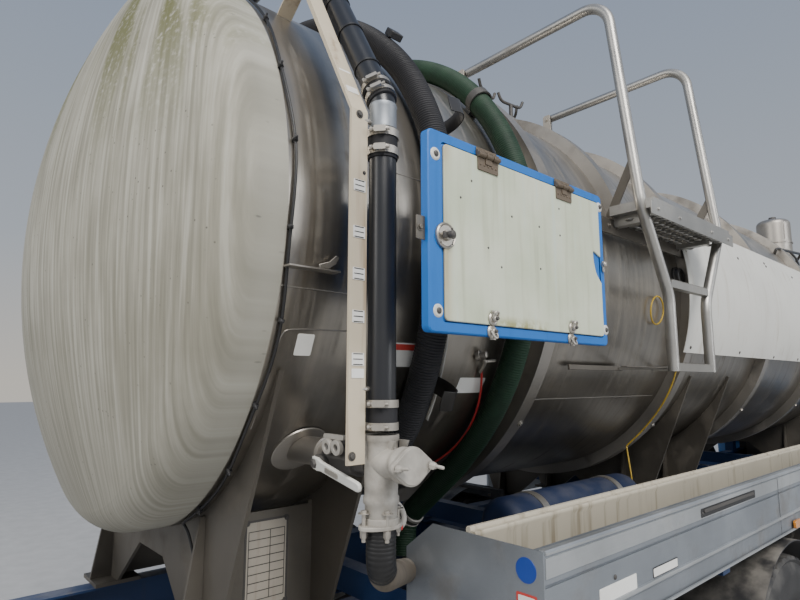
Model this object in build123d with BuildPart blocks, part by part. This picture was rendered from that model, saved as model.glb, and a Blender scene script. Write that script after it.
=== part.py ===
"""Three-axle vacuum tanker truck, as an assembly of separate pieces.

Millimetres. +X points to the front of the truck, +Y to its left, +Z up.
The origin is on the ground under the middle of the whole truck.
"""
import os
from math import asin, cos, radians, sin, sqrt

from build123d import *

# Clearances
seat_gap = 0.3
running_gap = 0.08
moving_gap = 6

# Tank barrel: a horizontal cylinder with a dished head at each end
tank_radius = 930
tank_length = 5900
tank_rear_x = -3950
tank_axis_z = 2250
dish_skirt = 75
dish_depth = 310
dish_knuckle = 130

# Tank hoops and the rolled side panels that lie on them
ring_width = 65
ring_height = 55
ring_first = 1080
ring_pitch = 1190
ring_count = 4
half_band_at = 1650
half_band_end_angle = 16
half_band_gap = 40
panel_start = 2200
panel_end = 5450
panel_low_angle = -18.3
panel_high_angle = 23.1
panel_thickness = 3

# Chassis rails and what hangs on them
rail_rear_x = -4330
rail_front_x = 4080
rail_top_z = 1030
rail_height = 270
rail_flange = 80
rail_wall = 8
frame_width = 860
cross_member_length = 90
cross_member_height = 180
cross_member_at = (-4250, -3450, -2185, -1150, 250, 1500, 2450, 3950)
bracket_plate = 15

# Saddles that carry the tank
saddle_at = (50, 415, 2530, 3070, 5550)
saddle_web_gap = 27
saddle_thickness = 12
saddle_foot_length = 160
saddle_foot_thickness = 14
saddle_tip_angle = 27
saddle_tip_width = 50
saddle_foot_y = 520
saddle_foot_inner_y = 345
saddle_bridge_depth = 90

# Hose trays along both sides
tray_outer_y = 1250
tray_inner_y = 1000
tray_top_z = 1387
tray_height = 264
tray_board = 32
tray_wall = 16
tray_floor = 10
tray_rear_at = 550
tray_front_at = 5500
tray_end_plate = 5
tray_end_inner_y = 756
tray_end_slope_y = 869
tray_end_slope_drop = 85
tray_groove_depth = 6
tray_groove_height = 8
tray_groove_down = 78
tray_ridge_down = 205
tray_arm_at = (680, 1765, 3230, 4400, 5400)
tray_arm_width = 70

# Wheels and axles
tyre_radius = 505
tyre_width = 285
tread_share = 0.78
rim_radius = 298
rim_width = 230
rim_wall = 12
disc_thickness = 16
hub_radius = 118
hub_bore_radius = 45
hub_nose_length = 60
hub_length = 190
knuckle_wall = 28
front_axle_x = 3080
bogie_x = -2185
bogie_spread = 1370
front_wheel_y = 1060
front_disc_offset = 60
kingpin_y = 930
kingpin_radius = 22
eye_radius = 48
eye_height = 110
ear_height = 34
ear_gap = 1
twin_spacing = 325
twin_outer_y = 1095
axle_tube_radius = 65
drive_head_radius = 165
beam_width = 96
beam_height = 100

# Leaf springs
spring_y = 475
spring_width = 80
spring_thickness = 45
front_spring_reach = 700
front_spring_rise = 80
bogie_spring_rise = 60
spring_pad_height = 30

# Mudguards
guard_gap = 65
front_guard_gap = 95
guard_skin = 5
guard_start_angle = 24
guard_stay_back = 80
front_guard_width = 330
rear_guard_width = 620

# Cab
cab_back_x = 2520
cab_front_x = 4320
cab_half_width = 1150
cab_wall = 50
cab_roof_z = 2960
cab_floor_z = 1160
cab_footwell_z = 1010
cab_tunnel_half_width = 450
screen_base_z = 1900
screen_lean = 260
screen_top_drop = 90
screen_side = 110
screen_margin = 80
roof_back_drop = 90
back_corner = 120
wheel_arch_x = 3700
cab_corner = 70
cab_panel_bottom_z = 800
cab_panel_thickness = 50
grille_slots = 4
grille_rise = 250
grille_pitch = 110
grille_slot_height = 50
grille_half_width = 750
grille_depth = 20
glass_thickness = 6
glass_inset = 16
cab_pivot_x = 4180
cab_pivot_z = 860
cab_pivot_radius = 20
cab_lug_radius = 45
cab_lug_y = 480
cab_lug_thickness = 26
cab_rest_x = 2600
door_rear_x = 3180
door_front_x = 4180
door_top_front_x = 3930
door_top_z = 2760
door_bottom_z = 1050
door_sill_z = 1200
door_belt_z = 1950
door_frame = 70
hinge_stand_off = 16
hinge_radius = 11
hinge_pin_radius = 5
hinge_barrel = 60
hinge_lug = 22
hinge_plate = 5
hinge_at_z = (1130, 1840)

# Cab fittings
seat_y = 600
seat_from_back = 350
seat_depth = 520
seat_width = 500
seat_height = 420
seat_cushion = 140
seat_back_height = 1080
seat_lean = 80
dash_depth = 270
dash_height = 360
dash_rise = 30
dash_slope = 50
column_tilt = 37
column_length = 290
steering_column_radius = 38
steering_wheel_radius = 225
steering_wheel_grip = 32
mirror_depth = 80
mirror_width = 180
mirror_height = 420
mirror_reach = 160
mirror_arm = 24

# Bumpers, lamps and steps
bumper_front_x = 4450
bumper_half_width = 1240
bumper_top_z = 770
bumper_bottom_z = 330
bumper_depth = 480
bumper_skin = 30
bumper_corner = 140
headlamp_y = 850
headlamp_width = 384
headlamp_height = 184
headlamp_z = 600
rear_beam_x = -4400
rear_beam_width = 2300
rear_beam_height = 110
rear_beam_depth = 100
rear_beam_z = 480
rear_lamp_width = 320
rear_lamp_height = 120
step_z = (400, 680)
step_x = 3890
step_length = 360
step_depth = 160
step_outer_y = 1190

# Cabinet on the right side of the tank
cabinet_at = 569
cabinet_width = 764
cabinet_height = 472
cabinet_mid_z = 2142
cabinet_stand_off = 295
cabinet_depth = 125
cabinet_wall = 12
cabinet_border = 26
cabinet_latch_border = 44
cabinet_inset = 30
cabinet_latch_inset = 115
cabinet_web = 5
cabinet_corner = 12
cabinet_door_thickness = 12
cabinet_posts_at = (40, 210)
cabinet_post_size = 45
cabinet_hinges_at = (-179, 159)

# Gauge board beside the sight pipe, heights measured from the tank's axis
board_at = 135
board_width = 50
board_thickness = 8
board_stand_off = 108
board_bottom = -641
board_bend = 221
board_slope_in = 280
board_slope_height = 751
board_foot_angle = 134

# Pipes and hoses
black_hose_radius = 44
black_hose_at = 485
black_hose_tilt = 0
black_hose_top_angle = -82
black_hose_end_angle = 52
green_hose_radius = 43
green_hose_at = 900
green_hose_top_angle = -84
green_hose_end_angle = 50
green_hose_tail = 340
hose_ride_gap = 14
clip_width = 34
clip_skin = 5
sight_pipe_radius = 35
sight_pipe_at = 208
sight_pipe_stand_off = 110
sight_pipe_straight_top = 263
sight_pipe_turn_off = 148
sight_pipe_turn_angle = 45
sight_pipe_top_in = 330
sight_pipe_bend = 120
sight_pipe_bottom = -566
dome_radius = 70
dome_height = 150

# Valve set below the sight pipe
casting_radius = 42
branch_drop = 640
branch_radius = 34
branch_length = 100
flap_length = 124
flap_height = 88
flap_thickness = 14
inlet_radius = 38
ball_body_radius = 46
ball_body_length = 80
ball_body_from_column = 150
flange_drop = 775
flange_length = 120
flange_depth = 90
flange_thickness = 14
elbow_drop = 95
elbow_end_drop = 205
elbow_in = 350
elbow_bend = 85
elbow_turn_at = 480
elbow_end_at = 1080

# Access ladder, heights measured from the tank's axis
ladder_tube = 22.5
ladder_low_at = (1700, 2080)
ladder_high_at = (1500, 2300)
ladder_low = -410
ladder_stand_off = 170
ladder_flare_start = -100
rung_heights = (-395, -50)
rung_size = 30
platform_height = 250
platform_thickness = 40
platform_out = 50
platform_in = 135
platform_bracket_at = (1560, 2160)
handrail_height = 1195
handrail_lean = 100
handrail_end_y = -160
handrail_bend = 130
stay_height = 12

# Manhole near the front of the tank
manhole_at = 1780
manhole_radius = 250
manhole_wall = 12
manhole_height = 60
lid_overhang = 25
lid_thickness = 26
lid_hinge_reach = 50
lid_pin_radius = 8
lid_barrel_radius = 17
lid_barrel = 70
lid_lug = 16
lid_bracket_height = 90
float_pot_at = 5350
float_pot_y = -540
float_pot_radius = 135
float_pot_height = 100

# Side equipment between the axles
receiver_radius = 110
receiver_at = 1150
receiver_length = 1000
receiver_y = -620
fuel_tank_x = 1350
fuel_tank_size = (1200, 620, 520)
fuel_tank_y = 800
fuel_tank_z = 760
battery_box_x = 1800
battery_box_size = (560, 560, 400)
battery_box_y = -800
battery_box_z = 760
pump_x = 500
pump_y = -720
pump_z = 740
pump_drum_radius = 170
pump_drum_length = 440
engine_x = 3350
engine_size = (1000, 620, 500)
engine_z = 880
engine_foot = 40
guard_rail_from = -800
guard_rail_to = 300
guard_rail_z = (620, 860)
guard_rail_height = 100
guard_rail_skin = 30
jaw_x = -4370
jaw_z = 880
jaw_gap = 60
jaw_plate = 20
jaw_bore_radius = 20
jaw_width = 140

# Worked out from the driving sizes
tank_front_x = tank_rear_x + tank_length
tank_bottom_z = tank_axis_z - tank_radius
tank_seat = tank_radius + seat_gap
rail_bottom_z = rail_top_z - rail_height
rail_outer_y = frame_width / 2
rail_inner_y = rail_outer_y - rail_flange
tank_axis = Axis((0, 0, tank_axis_z), (1, 0, 0))
tray_bottom_z = tray_top_z - tray_height
axle_z = tyre_radius
rear_axle_x = (bogie_x + bogie_spread / 2, bogie_x - bogie_spread / 2)
twin_middle_y = twin_outer_y - twin_spacing / 2
knuckle_wall_y = kingpin_y + eye_radius + knuckle_wall
ring_inner = tank_seat
ring_outer = ring_inner + ring_height
sides = ((1, "left"), (-1, "right"))
cabinet_face_y = -(tank_radius + cabinet_stand_off)
board_y = -(tank_radius + board_stand_off)
board_slope_y = board_y + board_slope_in
sight_pipe_y = -(tank_radius + sight_pipe_stand_off)
elbow_y = sight_pipe_y + elbow_in
ladder_y = -(tank_radius + ladder_stand_off)


def along(distance):
    """X of a point that lies this far in front of the tank's rear rim."""
    return tank_rear_x + distance


def save(piece, name):
    piece.part.label = name
    export_step(piece.part, f"parts/{name}.step")


def bar(low_x, high_x, low_y, high_y, low_z, high_z, mode=Mode.ADD):
    """Square-edged bar between two corners."""
    with Locations(((low_x + high_x) / 2, (low_y + high_y) / 2, (low_z + high_z) / 2)):
        Box(high_x - low_x, abs(high_y - low_y), high_z - low_z, mode=mode)


def clear_of_tank(low_x, high_x, radius=tank_seat):
    """Cut away what would reach inside the tank's barrel."""
    with BuildSketch(Plane.YZ.offset(low_x)) as inside:
        with Locations((0, tank_axis_z)):
            Circle(radius)
    extrude(inside.sketch, amount=high_x - low_x, mode=Mode.SUBTRACT)


os.makedirs("parts", exist_ok=True)

# Chassis rails: two channels with the brackets they carry
spring_low_z = axle_z + beam_height / 2 + spring_pad_height + seat_gap
hanger_z = spring_low_z + front_spring_rise + spring_thickness + seat_gap
bogie_spring_top = (
    axle_z + axle_tube_radius + spring_pad_height + seat_gap + bogie_spring_rise + spring_thickness
)
with BuildPart() as chassis_rails:
    for side, side_name in sides:
        outer = side * rail_outer_y
        inner = side * rail_inner_y
        web = side * (rail_outer_y - rail_wall)
        with BuildSketch(Plane.YZ.offset(rail_rear_x)):
            Polygon(
                (outer, rail_bottom_z),
                (inner, rail_bottom_z),
                (inner, rail_bottom_z + rail_wall),
                (web, rail_bottom_z + rail_wall),
                (web, rail_top_z - rail_wall),
                (inner, rail_top_z - rail_wall),
                (inner, rail_top_z),
                (outer, rail_top_z),
                align=None,
            )
        extrude(amount=rail_front_x - rail_rear_x)
        # Spring hangers on the web, and the bogie's middle bracket under the rail
        spring_edge = side * (spring_y + spring_width / 2)
        for end in (1, -1):
            end_x = front_axle_x + end * (front_spring_reach - 30)
            bar(end_x - 40, end_x + 40, outer, spring_edge, hanger_z, rail_bottom_z + 90)
        bar(bogie_x - 90, bogie_x + 90, inner, spring_edge, bogie_spring_top + seat_gap, rail_bottom_z)
        # Cab rest behind, and the pivot plate with its pin in front
        bar(cab_rest_x - 50, cab_rest_x + 50, inner, outer, rail_top_z, cab_floor_z - seat_gap)
        plate_y = side * (rail_outer_y + bracket_plate)
        with BuildSketch(Plane.XZ.offset(-outer)):
            with BuildLine():
                Polyline(
                    (cab_pivot_x, cab_pivot_z - 1.2 * cab_lug_radius),
                    (rail_front_x - 160, cab_pivot_z - 1.2 * cab_lug_radius),
                    (rail_front_x - 160, cab_pivot_z + 1.2 * cab_lug_radius),
                    (cab_pivot_x, cab_pivot_z + 1.2 * cab_lug_radius),
                )
                ThreePointArc(
                    (cab_pivot_x, cab_pivot_z + 1.2 * cab_lug_radius),
                    (cab_pivot_x + 1.2 * cab_lug_radius, cab_pivot_z),
                    (cab_pivot_x, cab_pivot_z - 1.2 * cab_lug_radius),
                )
            make_face()
        extrude(amount=-side * bracket_plate)
        with BuildSketch(Plane.XZ.offset(-outer)):
            with Locations((cab_pivot_x, cab_pivot_z)):
                Circle(cab_pivot_radius)
        extrude(amount=-side * (cab_lug_y + cab_lug_thickness - rail_outer_y))
        # Bumper bracket below the rail's front end
        with BuildSketch(Plane.XZ.offset(-inner)):
            Polygon(
                (rail_front_x - 120, rail_bottom_z),
                (rail_front_x, rail_bottom_z),
                (rail_front_x, rail_bottom_z - 120),
                (bumper_front_x - bumper_skin - seat_gap, rail_bottom_z - 120),
                (bumper_front_x - bumper_skin - seat_gap, rail_bottom_z - 260),
                (rail_front_x - 120, rail_bottom_z - 260),
                align=None,
            )
        extrude(amount=-side * rail_flange / 2)
save(chassis_rails, "chassis_rails")

# Cross members between the rails
with BuildPart() as cross_members:
    for x in cross_member_at:
        half = cross_member_length / 2
        middle = (rail_top_z + rail_bottom_z) / 2
        bar(
            x - half,
            x + half,
            -rail_outer_y + rail_wall,
            rail_outer_y - rail_wall,
            middle - cross_member_height / 2,
            middle + cross_member_height / 2,
        )
save(cross_members, "cross_members")

# Towing jaw on the rear cross member
jaw_back_x = cross_member_at[0] - cross_member_length / 2
with BuildPart() as tow_jaw:
    for level in (1, -1):
        with BuildSketch(Plane.XY.offset(jaw_z + level * (jaw_gap + jaw_plate) / 2 - jaw_plate / 2)):
            with Locations(((jaw_x + jaw_back_x) / 2, 0)):
                Rectangle(jaw_back_x - jaw_x, jaw_width)
            with Locations((jaw_x, 0)):
                Circle(jaw_width / 2)
                Circle(jaw_bore_radius, mode=Mode.SUBTRACT)
        extrude(amount=jaw_plate)
    bar(
        jaw_back_x - jaw_plate,
        jaw_back_x,
        -jaw_width / 2,
        jaw_width / 2,
        jaw_z - jaw_gap,
        jaw_z + jaw_gap,
    )
save(tow_jaw, "tow_jaw")


def dish_section(rim_x, direction):
    """Pole, crown, join, knuckle and skirt points of a dished end's section."""
    bore = tank_radius - dish_knuckle
    crown = (dish_depth**2 + bore**2 - dish_knuckle**2) / (2 * (dish_depth - dish_knuckle))
    join_angle = asin(bore / (crown - dish_knuckle))
    knuckle_angle = (join_angle + radians(90)) / 2
    skirt_x = rim_x + direction * dish_skirt
    centre_x = skirt_x + direction * (dish_depth - crown)

    def on_arc(x, z, radius, angle):
        return (x + direction * radius * cos(angle), tank_axis_z + z + radius * sin(angle))

    return (
        (skirt_x + direction * dish_depth, tank_axis_z),
        on_arc(centre_x, 0, crown, join_angle / 2),
        on_arc(centre_x, 0, crown, join_angle),
        on_arc(skirt_x, bore, dish_knuckle, knuckle_angle),
        (skirt_x, tank_axis_z + tank_radius),
    )


# Tank shell, closed
with BuildPart() as tank_shell:
    rear_points = dish_section(tank_rear_x, -1)
    front_points = dish_section(tank_front_x, 1)
    with BuildSketch(Plane.XZ):
        with BuildLine():
            for points in (rear_points, front_points):
                ThreePointArc(*points[:3])
                ThreePointArc(*points[2:])
            Line(rear_points[-1], front_points[-1])
            Line(front_points[0], rear_points[0])
        make_face()
    revolve(axis=tank_axis)
save(tank_shell, "tank_shell")

# Hoops round the tank, and one band over its upper half that stops at the manhole
with BuildPart() as tank_rings:
    for number in range(ring_count):
        x = along(ring_first + number * ring_pitch) - ring_width / 2
        with BuildSketch(Plane.YZ.offset(x)):
            with Locations((0, tank_axis_z)):
                Circle(ring_outer)
                Circle(ring_inner, mode=Mode.SUBTRACT)
        extrude(amount=ring_width)
    with BuildSketch(Plane.YZ.offset(along(half_band_at) - ring_width / 2)):
        with Locations((0, tank_axis_z)):
            Circle(ring_outer)
            Circle(ring_inner, mode=Mode.SUBTRACT)
        cut_z = tank_axis_z + ring_outer * sin(radians(half_band_end_angle)) - ring_outer
        with Locations((0, cut_z)):
            Rectangle(3 * ring_outer, 2 * ring_outer, mode=Mode.SUBTRACT)
        with Locations((0, tank_axis_z + ring_outer)):
            Rectangle(2 * (manhole_radius + half_band_gap), ring_outer, mode=Mode.SUBTRACT)
    extrude(amount=ring_width)
save(tank_rings, "tank_rings")

# Rolled panels on the hoops, one on each side
panel_inner = ring_outer + seat_gap
panel_outer = panel_inner + panel_thickness
with BuildPart() as side_panels:
    for side, side_name in sides:
        corners = [
            (side * radius * cos(radians(angle)), tank_axis_z + radius * sin(radians(angle)))
            for radius in (panel_inner, panel_outer)
            for angle in (panel_low_angle, panel_high_angle)
        ]
        with BuildSketch(Plane.YZ.offset(along(panel_start))):
            with BuildLine():
                ThreePointArc(corners[0], (side * panel_inner, tank_axis_z), corners[1])
                ThreePointArc(corners[2], (side * panel_outer, tank_axis_z), corners[3])
                Line(corners[0], corners[2])
                Line(corners[1], corners[3])
            make_face()
        extrude(amount=panel_end - panel_start)
save(side_panels, "side_panels")

# Saddle webs with their feet on the rails
tip_y = tank_seat * cos(radians(saddle_tip_angle))
tip_z = tank_axis_z - tank_seat * sin(radians(saddle_tip_angle))
with BuildPart() as tank_saddles:
    for distance in saddle_at:
        low_x = along(distance) - saddle_thickness / 2
        for side, side_name in sides:
            with BuildSketch(Plane.YZ.offset(low_x)):
                Polygon(
                    (side * (tip_y - saddle_tip_width), tip_z),
                    (side * (tip_y + saddle_tip_width / 5), tip_z),
                    (side * saddle_foot_y, rail_top_z + saddle_foot_thickness),
                    (side * saddle_foot_inner_y, rail_top_z + saddle_foot_thickness),
                    (side * saddle_foot_inner_y / 3, tank_bottom_z - saddle_bridge_depth),
                    (0, tank_bottom_z - saddle_bridge_depth),
                    (0, tank_bottom_z + saddle_bridge_depth),
                    align=None,
                )
                with Locations((0, tank_axis_z)):
                    Circle(tank_seat, mode=Mode.SUBTRACT)
            extrude(amount=saddle_thickness)
            bar(
                along(distance) - saddle_foot_length / 2,
                along(distance) + saddle_foot_length / 2,
                side * saddle_foot_inner_y,
                side * saddle_foot_y,
                rail_top_z,
                rail_top_z + saddle_foot_thickness,
            )
            # Gusset behind the web, from the foot up towards the tank
            with BuildSketch(Plane.XZ.offset(-side * (saddle_foot_y + saddle_foot_inner_y) / 2)):
                Polygon(
                    (along(distance) - saddle_foot_length / 2, rail_top_z + saddle_foot_thickness),
                    (along(distance) + saddle_foot_length / 2, rail_top_z + saddle_foot_thickness),
                    (along(distance) + 20, tank_bottom_z + saddle_bridge_depth),
                    (along(distance) - 20, tank_bottom_z + saddle_bridge_depth),
                    align=None,
                )
            extrude(amount=saddle_thickness / 2, both=True)
        clear_of_tank(along(distance) - saddle_foot_length, along(distance) + saddle_foot_length)
    # Webs along the truck that join the two rear saddles
    web_y = (saddle_foot_y + saddle_foot_inner_y) / 2
    web_top_z = tank_axis_z - sqrt(tank_radius**2 - web_y**2) - saddle_web_gap
    for side, side_name in sides:
        bar(
            along(saddle_at[0]),
            along(saddle_at[1]),
            side * web_y - saddle_thickness / 2,
            side * web_y + saddle_thickness / 2,
            rail_top_z + saddle_foot_thickness,
            web_top_z,
        )
save(tank_saddles, "tank_saddles")


# Hose trays: open troughs with a shaped end plate at the rear
def make_tray(side, name):
    outer = side * tray_outer_y
    board = side * (tray_outer_y - tray_board)
    inner = side * tray_inner_y
    inner_wall = side * (tray_inner_y + tray_wall)
    groove = side * (tray_outer_y - tray_groove_depth)
    groove_top = tray_top_z - tray_groove_down
    ridge_top = tray_top_z - tray_ridge_down
    with BuildPart() as tray:
        with BuildSketch(Plane.YZ.offset(along(tray_rear_at))):
            Polygon(
                (outer, tray_top_z),
                (board, tray_top_z),
                (board, tray_bottom_z + tray_floor),
                (inner_wall, tray_bottom_z + tray_floor),
                (inner_wall, tray_top_z),
                (inner, tray_top_z),
                (inner, tray_bottom_z),
                (groove, tray_bottom_z),
                (groove, ridge_top),
                (outer, ridge_top + tray_groove_depth),
                (outer, groove_top - tray_groove_height),
                (groove, groove_top - tray_groove_height),
                (groove, groove_top),
                (outer, groove_top),
                align=None,
            )
        extrude(amount=tray_front_at - tray_rear_at)
        with BuildSketch(Plane.YZ.offset(along(tray_rear_at))):
            Polygon(
                (outer, tray_top_z),
                (side * tray_end_slope_y, tray_top_z),
                (side * tray_end_inner_y, tray_top_z - tray_end_slope_drop),
                (side * tray_end_inner_y, tray_bottom_z),
                (outer, tray_bottom_z),
                align=None,
            )
        extrude(amount=-tray_end_plate)
        front_x = along(tray_front_at)
        bar(front_x, front_x + tray_end_plate, inner, outer, tray_bottom_z, tray_top_z)
    save(tray, name)


for side, side_name in sides:
    make_tray(side, f"hose_tray_{side_name}")

# Arms across the rails that carry both trays
with BuildPart() as tray_arms:
    arm_end = tray_outer_y - tray_board
    arm_end_z = (tray_bottom_z + rail_top_z) / 2
    for distance in tray_arm_at:
        with BuildSketch(Plane.YZ.offset(along(distance) - tray_arm_width / 2)):
            Polygon(
                (-arm_end, tray_bottom_z),
                (arm_end, tray_bottom_z),
                (arm_end, arm_end_z),
                (rail_outer_y, rail_top_z),
                (-rail_outer_y, rail_top_z),
                (-arm_end, arm_end_z),
                align=None,
            )
        extrude(amount=tray_arm_width)
save(tray_arms, "tray_arms")

# Cabinet: a broad front plate on a smaller box, on two posts from the tank, with its door
cabinet_x = along(cabinet_at)
cabinet_back_y = cabinet_face_y + cabinet_depth
cabinet_low_x = cabinet_x - cabinet_width / 2
cabinet_high_x = cabinet_x + cabinet_width / 2
cabinet_low_z = cabinet_mid_z - cabinet_height / 2
cabinet_high_z = cabinet_mid_z + cabinet_height / 2
cabinet_web_y = cabinet_face_y + cabinet_door_thickness + moving_gap
box_low_x = cabinet_low_x + cabinet_latch_inset
box_high_x = cabinet_high_x - cabinet_inset
box_low_z = cabinet_low_z + cabinet_inset
box_high_z = cabinet_high_z - cabinet_inset
door_low_x = cabinet_low_x + cabinet_latch_border
door_high_x = cabinet_high_x - cabinet_border
door_low_z = cabinet_low_z + cabinet_border
door_high_z = cabinet_high_z - cabinet_border
lid_axis_y = cabinet_face_y - hinge_radius - 1
lid_axis_z = door_high_z + moving_gap / 2
with BuildPart() as cabinet_body:
    bar(
        cabinet_low_x,
        cabinet_high_x,
        cabinet_face_y,
        cabinet_web_y + cabinet_web,
        cabinet_low_z,
        cabinet_high_z,
    )
    fillet(cabinet_body.edges().filter_by(Axis.Y), radius=cabinet_corner)
    bar(box_low_x, box_high_x, cabinet_web_y, cabinet_back_y, box_low_z, box_high_z)
    bar(
        box_low_x + cabinet_wall,
        box_high_x - cabinet_wall,
        cabinet_face_y,
        cabinet_back_y - cabinet_wall,
        box_low_z + cabinet_wall,
        box_high_z - cabinet_wall,
        mode=Mode.SUBTRACT,
    )
    bar(
        door_low_x - moving_gap,
        door_high_x + moving_gap,
        cabinet_face_y - 1,
        cabinet_web_y,
        door_low_z - moving_gap,
        door_high_z + moving_gap,
        mode=Mode.SUBTRACT,
    )
    for offset_x in cabinet_posts_at:
        bar(
            cabinet_x + offset_x - cabinet_post_size / 2,
            cabinet_x + offset_x + cabinet_post_size / 2,
            cabinet_back_y,
            -tank_radius + 40,
            cabinet_mid_z - cabinet_post_size,
            cabinet_mid_z + cabinet_post_size,
        )
    clear_of_tank(cabinet_low_x, cabinet_high_x)
    # Door hinges: a pin between two lugs
    for offset_x in cabinet_hinges_at:
        hinge_x = cabinet_x + offset_x
        half_barrel = hinge_barrel / 2
        for end in (1, -1):
            lug_start = hinge_x + end * (half_barrel + seat_gap)
            with BuildSketch(Plane.YZ.offset(lug_start)):
                with Locations((lid_axis_y, lid_axis_z)):
                    Circle(hinge_radius)
                with Locations((cabinet_face_y - hinge_radius / 2, door_high_z + 14)):
                    Rectangle(hinge_radius, 28 - moving_gap)
            extrude(amount=end * hinge_lug)
        with BuildSketch(Plane.YZ.offset(hinge_x - half_barrel - hinge_lug)):
            with Locations((lid_axis_y, lid_axis_z)):
                Circle(hinge_pin_radius)
        extrude(amount=2 * (half_barrel + hinge_lug))
save(cabinet_body, "cabinet_body")

with BuildPart() as cabinet_door:
    bar(
        door_low_x,
        door_high_x,
        cabinet_face_y,
        cabinet_face_y + cabinet_door_thickness,
        door_low_z,
        door_high_z,
    )
    fillet(cabinet_door.edges().filter_by(Axis.Y), radius=cabinet_corner)
    for offset_x in cabinet_hinges_at:
        hinge_x = cabinet_x + offset_x
        with BuildSketch(Plane.YZ.offset(hinge_x - hinge_barrel / 2)):
            with Locations((lid_axis_y, lid_axis_z)):
                Circle(hinge_radius)
            with Locations((cabinet_face_y - hinge_radius / 2, door_high_z - 20)):
                Rectangle(hinge_radius, 40)
            with Locations((lid_axis_y, lid_axis_z)):
                Circle(hinge_pin_radius + running_gap, mode=Mode.SUBTRACT)
        extrude(amount=hinge_barrel)
save(cabinet_door, "cabinet_door")

# Gauge board: upright by the sight pipe, then leaning in to a foot on the tank
with BuildPart() as gauge_board:
    foot_y = tank_seat * cos(radians(board_foot_angle))
    foot_z = tank_axis_z + tank_seat * sin(radians(board_foot_angle))
    with BuildSketch(Plane.YZ.offset(along(board_at) - board_width / 2)):
        Polygon(
            (board_y, tank_axis_z + board_bottom),
            (board_y + board_thickness, tank_axis_z + board_bottom),
            (board_y + board_thickness, tank_axis_z + board_bend - 2),
            (board_slope_y + board_thickness, tank_axis_z + board_slope_height - 2),
            (foot_y + 2 * board_thickness, foot_z - board_thickness),
            (foot_y - board_thickness, foot_z + 2 * board_thickness),
            (board_slope_y - board_thickness / 2, tank_axis_z + board_slope_height + board_thickness),
            (board_y, tank_axis_z + board_bend),
            align=None,
        )
    extrude(amount=board_width)
    clear_of_tank(along(board_at) - board_width, along(board_at) + board_width)
save(gauge_board, "gauge_board")


def tube(route, radius):
    """Round bar along a route."""
    with BuildSketch(Plane(route.line @ 0, z_dir=route.line % 0)) as end:
        Circle(radius)
    sweep(end.sketch, path=route.line)


# Sight pipe: from the valve casting up the side and over to a dome on the tank
column_x = along(sight_pipe_at)
sight_bottom_z = tank_axis_z + sight_pipe_bottom
pipe_top_z = tank_axis_z + tank_radius + 2 * sight_pipe_radius
pipe_turn = tank_radius + sight_pipe_turn_off
turn_angle = radians(sight_pipe_turn_angle)
with BuildPart() as sight_pipe:
    with BuildLine() as sight_route:
        FilletPolyline(
            (column_x, sight_pipe_y, sight_bottom_z),
            (column_x, sight_pipe_y, tank_axis_z + sight_pipe_straight_top),
            (column_x, -pipe_turn * cos(turn_angle), tank_axis_z + pipe_turn * sin(turn_angle)),
            (column_x, -sight_pipe_top_in, pipe_top_z),
            (column_x, 0, pipe_top_z),
            radius=sight_pipe_bend,
        )
    tube(sight_route, sight_pipe_radius)
    with Locations((column_x, 0, tank_axis_z + tank_radius + dome_height / 2)):
        Cylinder(dome_radius, dome_height)
    clear_of_tank(column_x - 2 * dome_radius, column_x + 2 * dome_radius)
save(sight_pipe, "sight_pipe")

# Valve set: casting, outlet flap, ball valve to the tank and the elbow below
branch_z = tank_axis_z - branch_drop
flange_z = tank_axis_z - flange_drop
with BuildPart() as valve_set:
    with BuildSketch(Plane.XY.offset(flange_z)):
        with Locations((column_x, sight_pipe_y)):
            Circle(casting_radius)
    extrude(amount=sight_bottom_z - seat_gap - flange_z)
    with BuildSketch(Plane.XZ.offset(-sight_pipe_y)):
        with Locations((column_x, branch_z)):
            Circle(branch_radius)
    extrude(amount=branch_length)
    with BuildSketch(Plane.XZ.offset(-sight_pipe_y + branch_length)):
        with Locations((column_x, branch_z)):
            SlotOverall(flap_length, flap_height)
    extrude(amount=flap_thickness)
    with BuildSketch(Plane.XZ.offset(-sight_pipe_y)):
        with Locations((column_x, branch_z)):
            Circle(inlet_radius)
    extrude(amount=sight_pipe_y + tank_radius / 2)
    with BuildSketch(Plane.XZ.offset(-sight_pipe_y - ball_body_from_column)):
        with Locations((column_x, branch_z)):
            RegularPolygon(ball_body_radius, 8)
    extrude(amount=-ball_body_length)
    with Locations((column_x, sight_pipe_y, flange_z)):
        Box(flange_length, flange_depth, flange_thickness)
    with BuildLine() as elbow_route:
        FilletPolyline(
            (column_x, sight_pipe_y, flange_z),
            (column_x, sight_pipe_y, flange_z - elbow_drop),
            (along(elbow_turn_at), elbow_y, flange_z - elbow_drop),
            (along(elbow_end_at), elbow_y, flange_z - elbow_end_drop),
            radius=elbow_bend,
        )
    tube(elbow_route, sight_pipe_radius)
    clear_of_tank(column_x - 200, column_x + 200)
save(valve_set, "valve_set")


# Hoses bent round the tank, and the clips that hold them
def hose_plane(at, tilt):
    """Plane across the tank, leaned back at the top by the tilt."""
    return Plane(
        origin=(along(at), 0, tank_axis_z),
        x_dir=(0, -1, 0),
        z_dir=(cos(radians(tilt)), 0, sin(radians(tilt))),
    )


def hose_route(plane, ride, top_angle, end_angle, tail):
    """Arc from the hose's top end down the right side, with a straight tail."""
    with BuildLine(plane) as route:
        arc = CenterArc((0, 0), ride, top_angle, end_angle - top_angle)
        if tail:
            Line(arc @ 1, (arc @ 1) + (arc % 1) * tail)
    return route, arc


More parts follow.
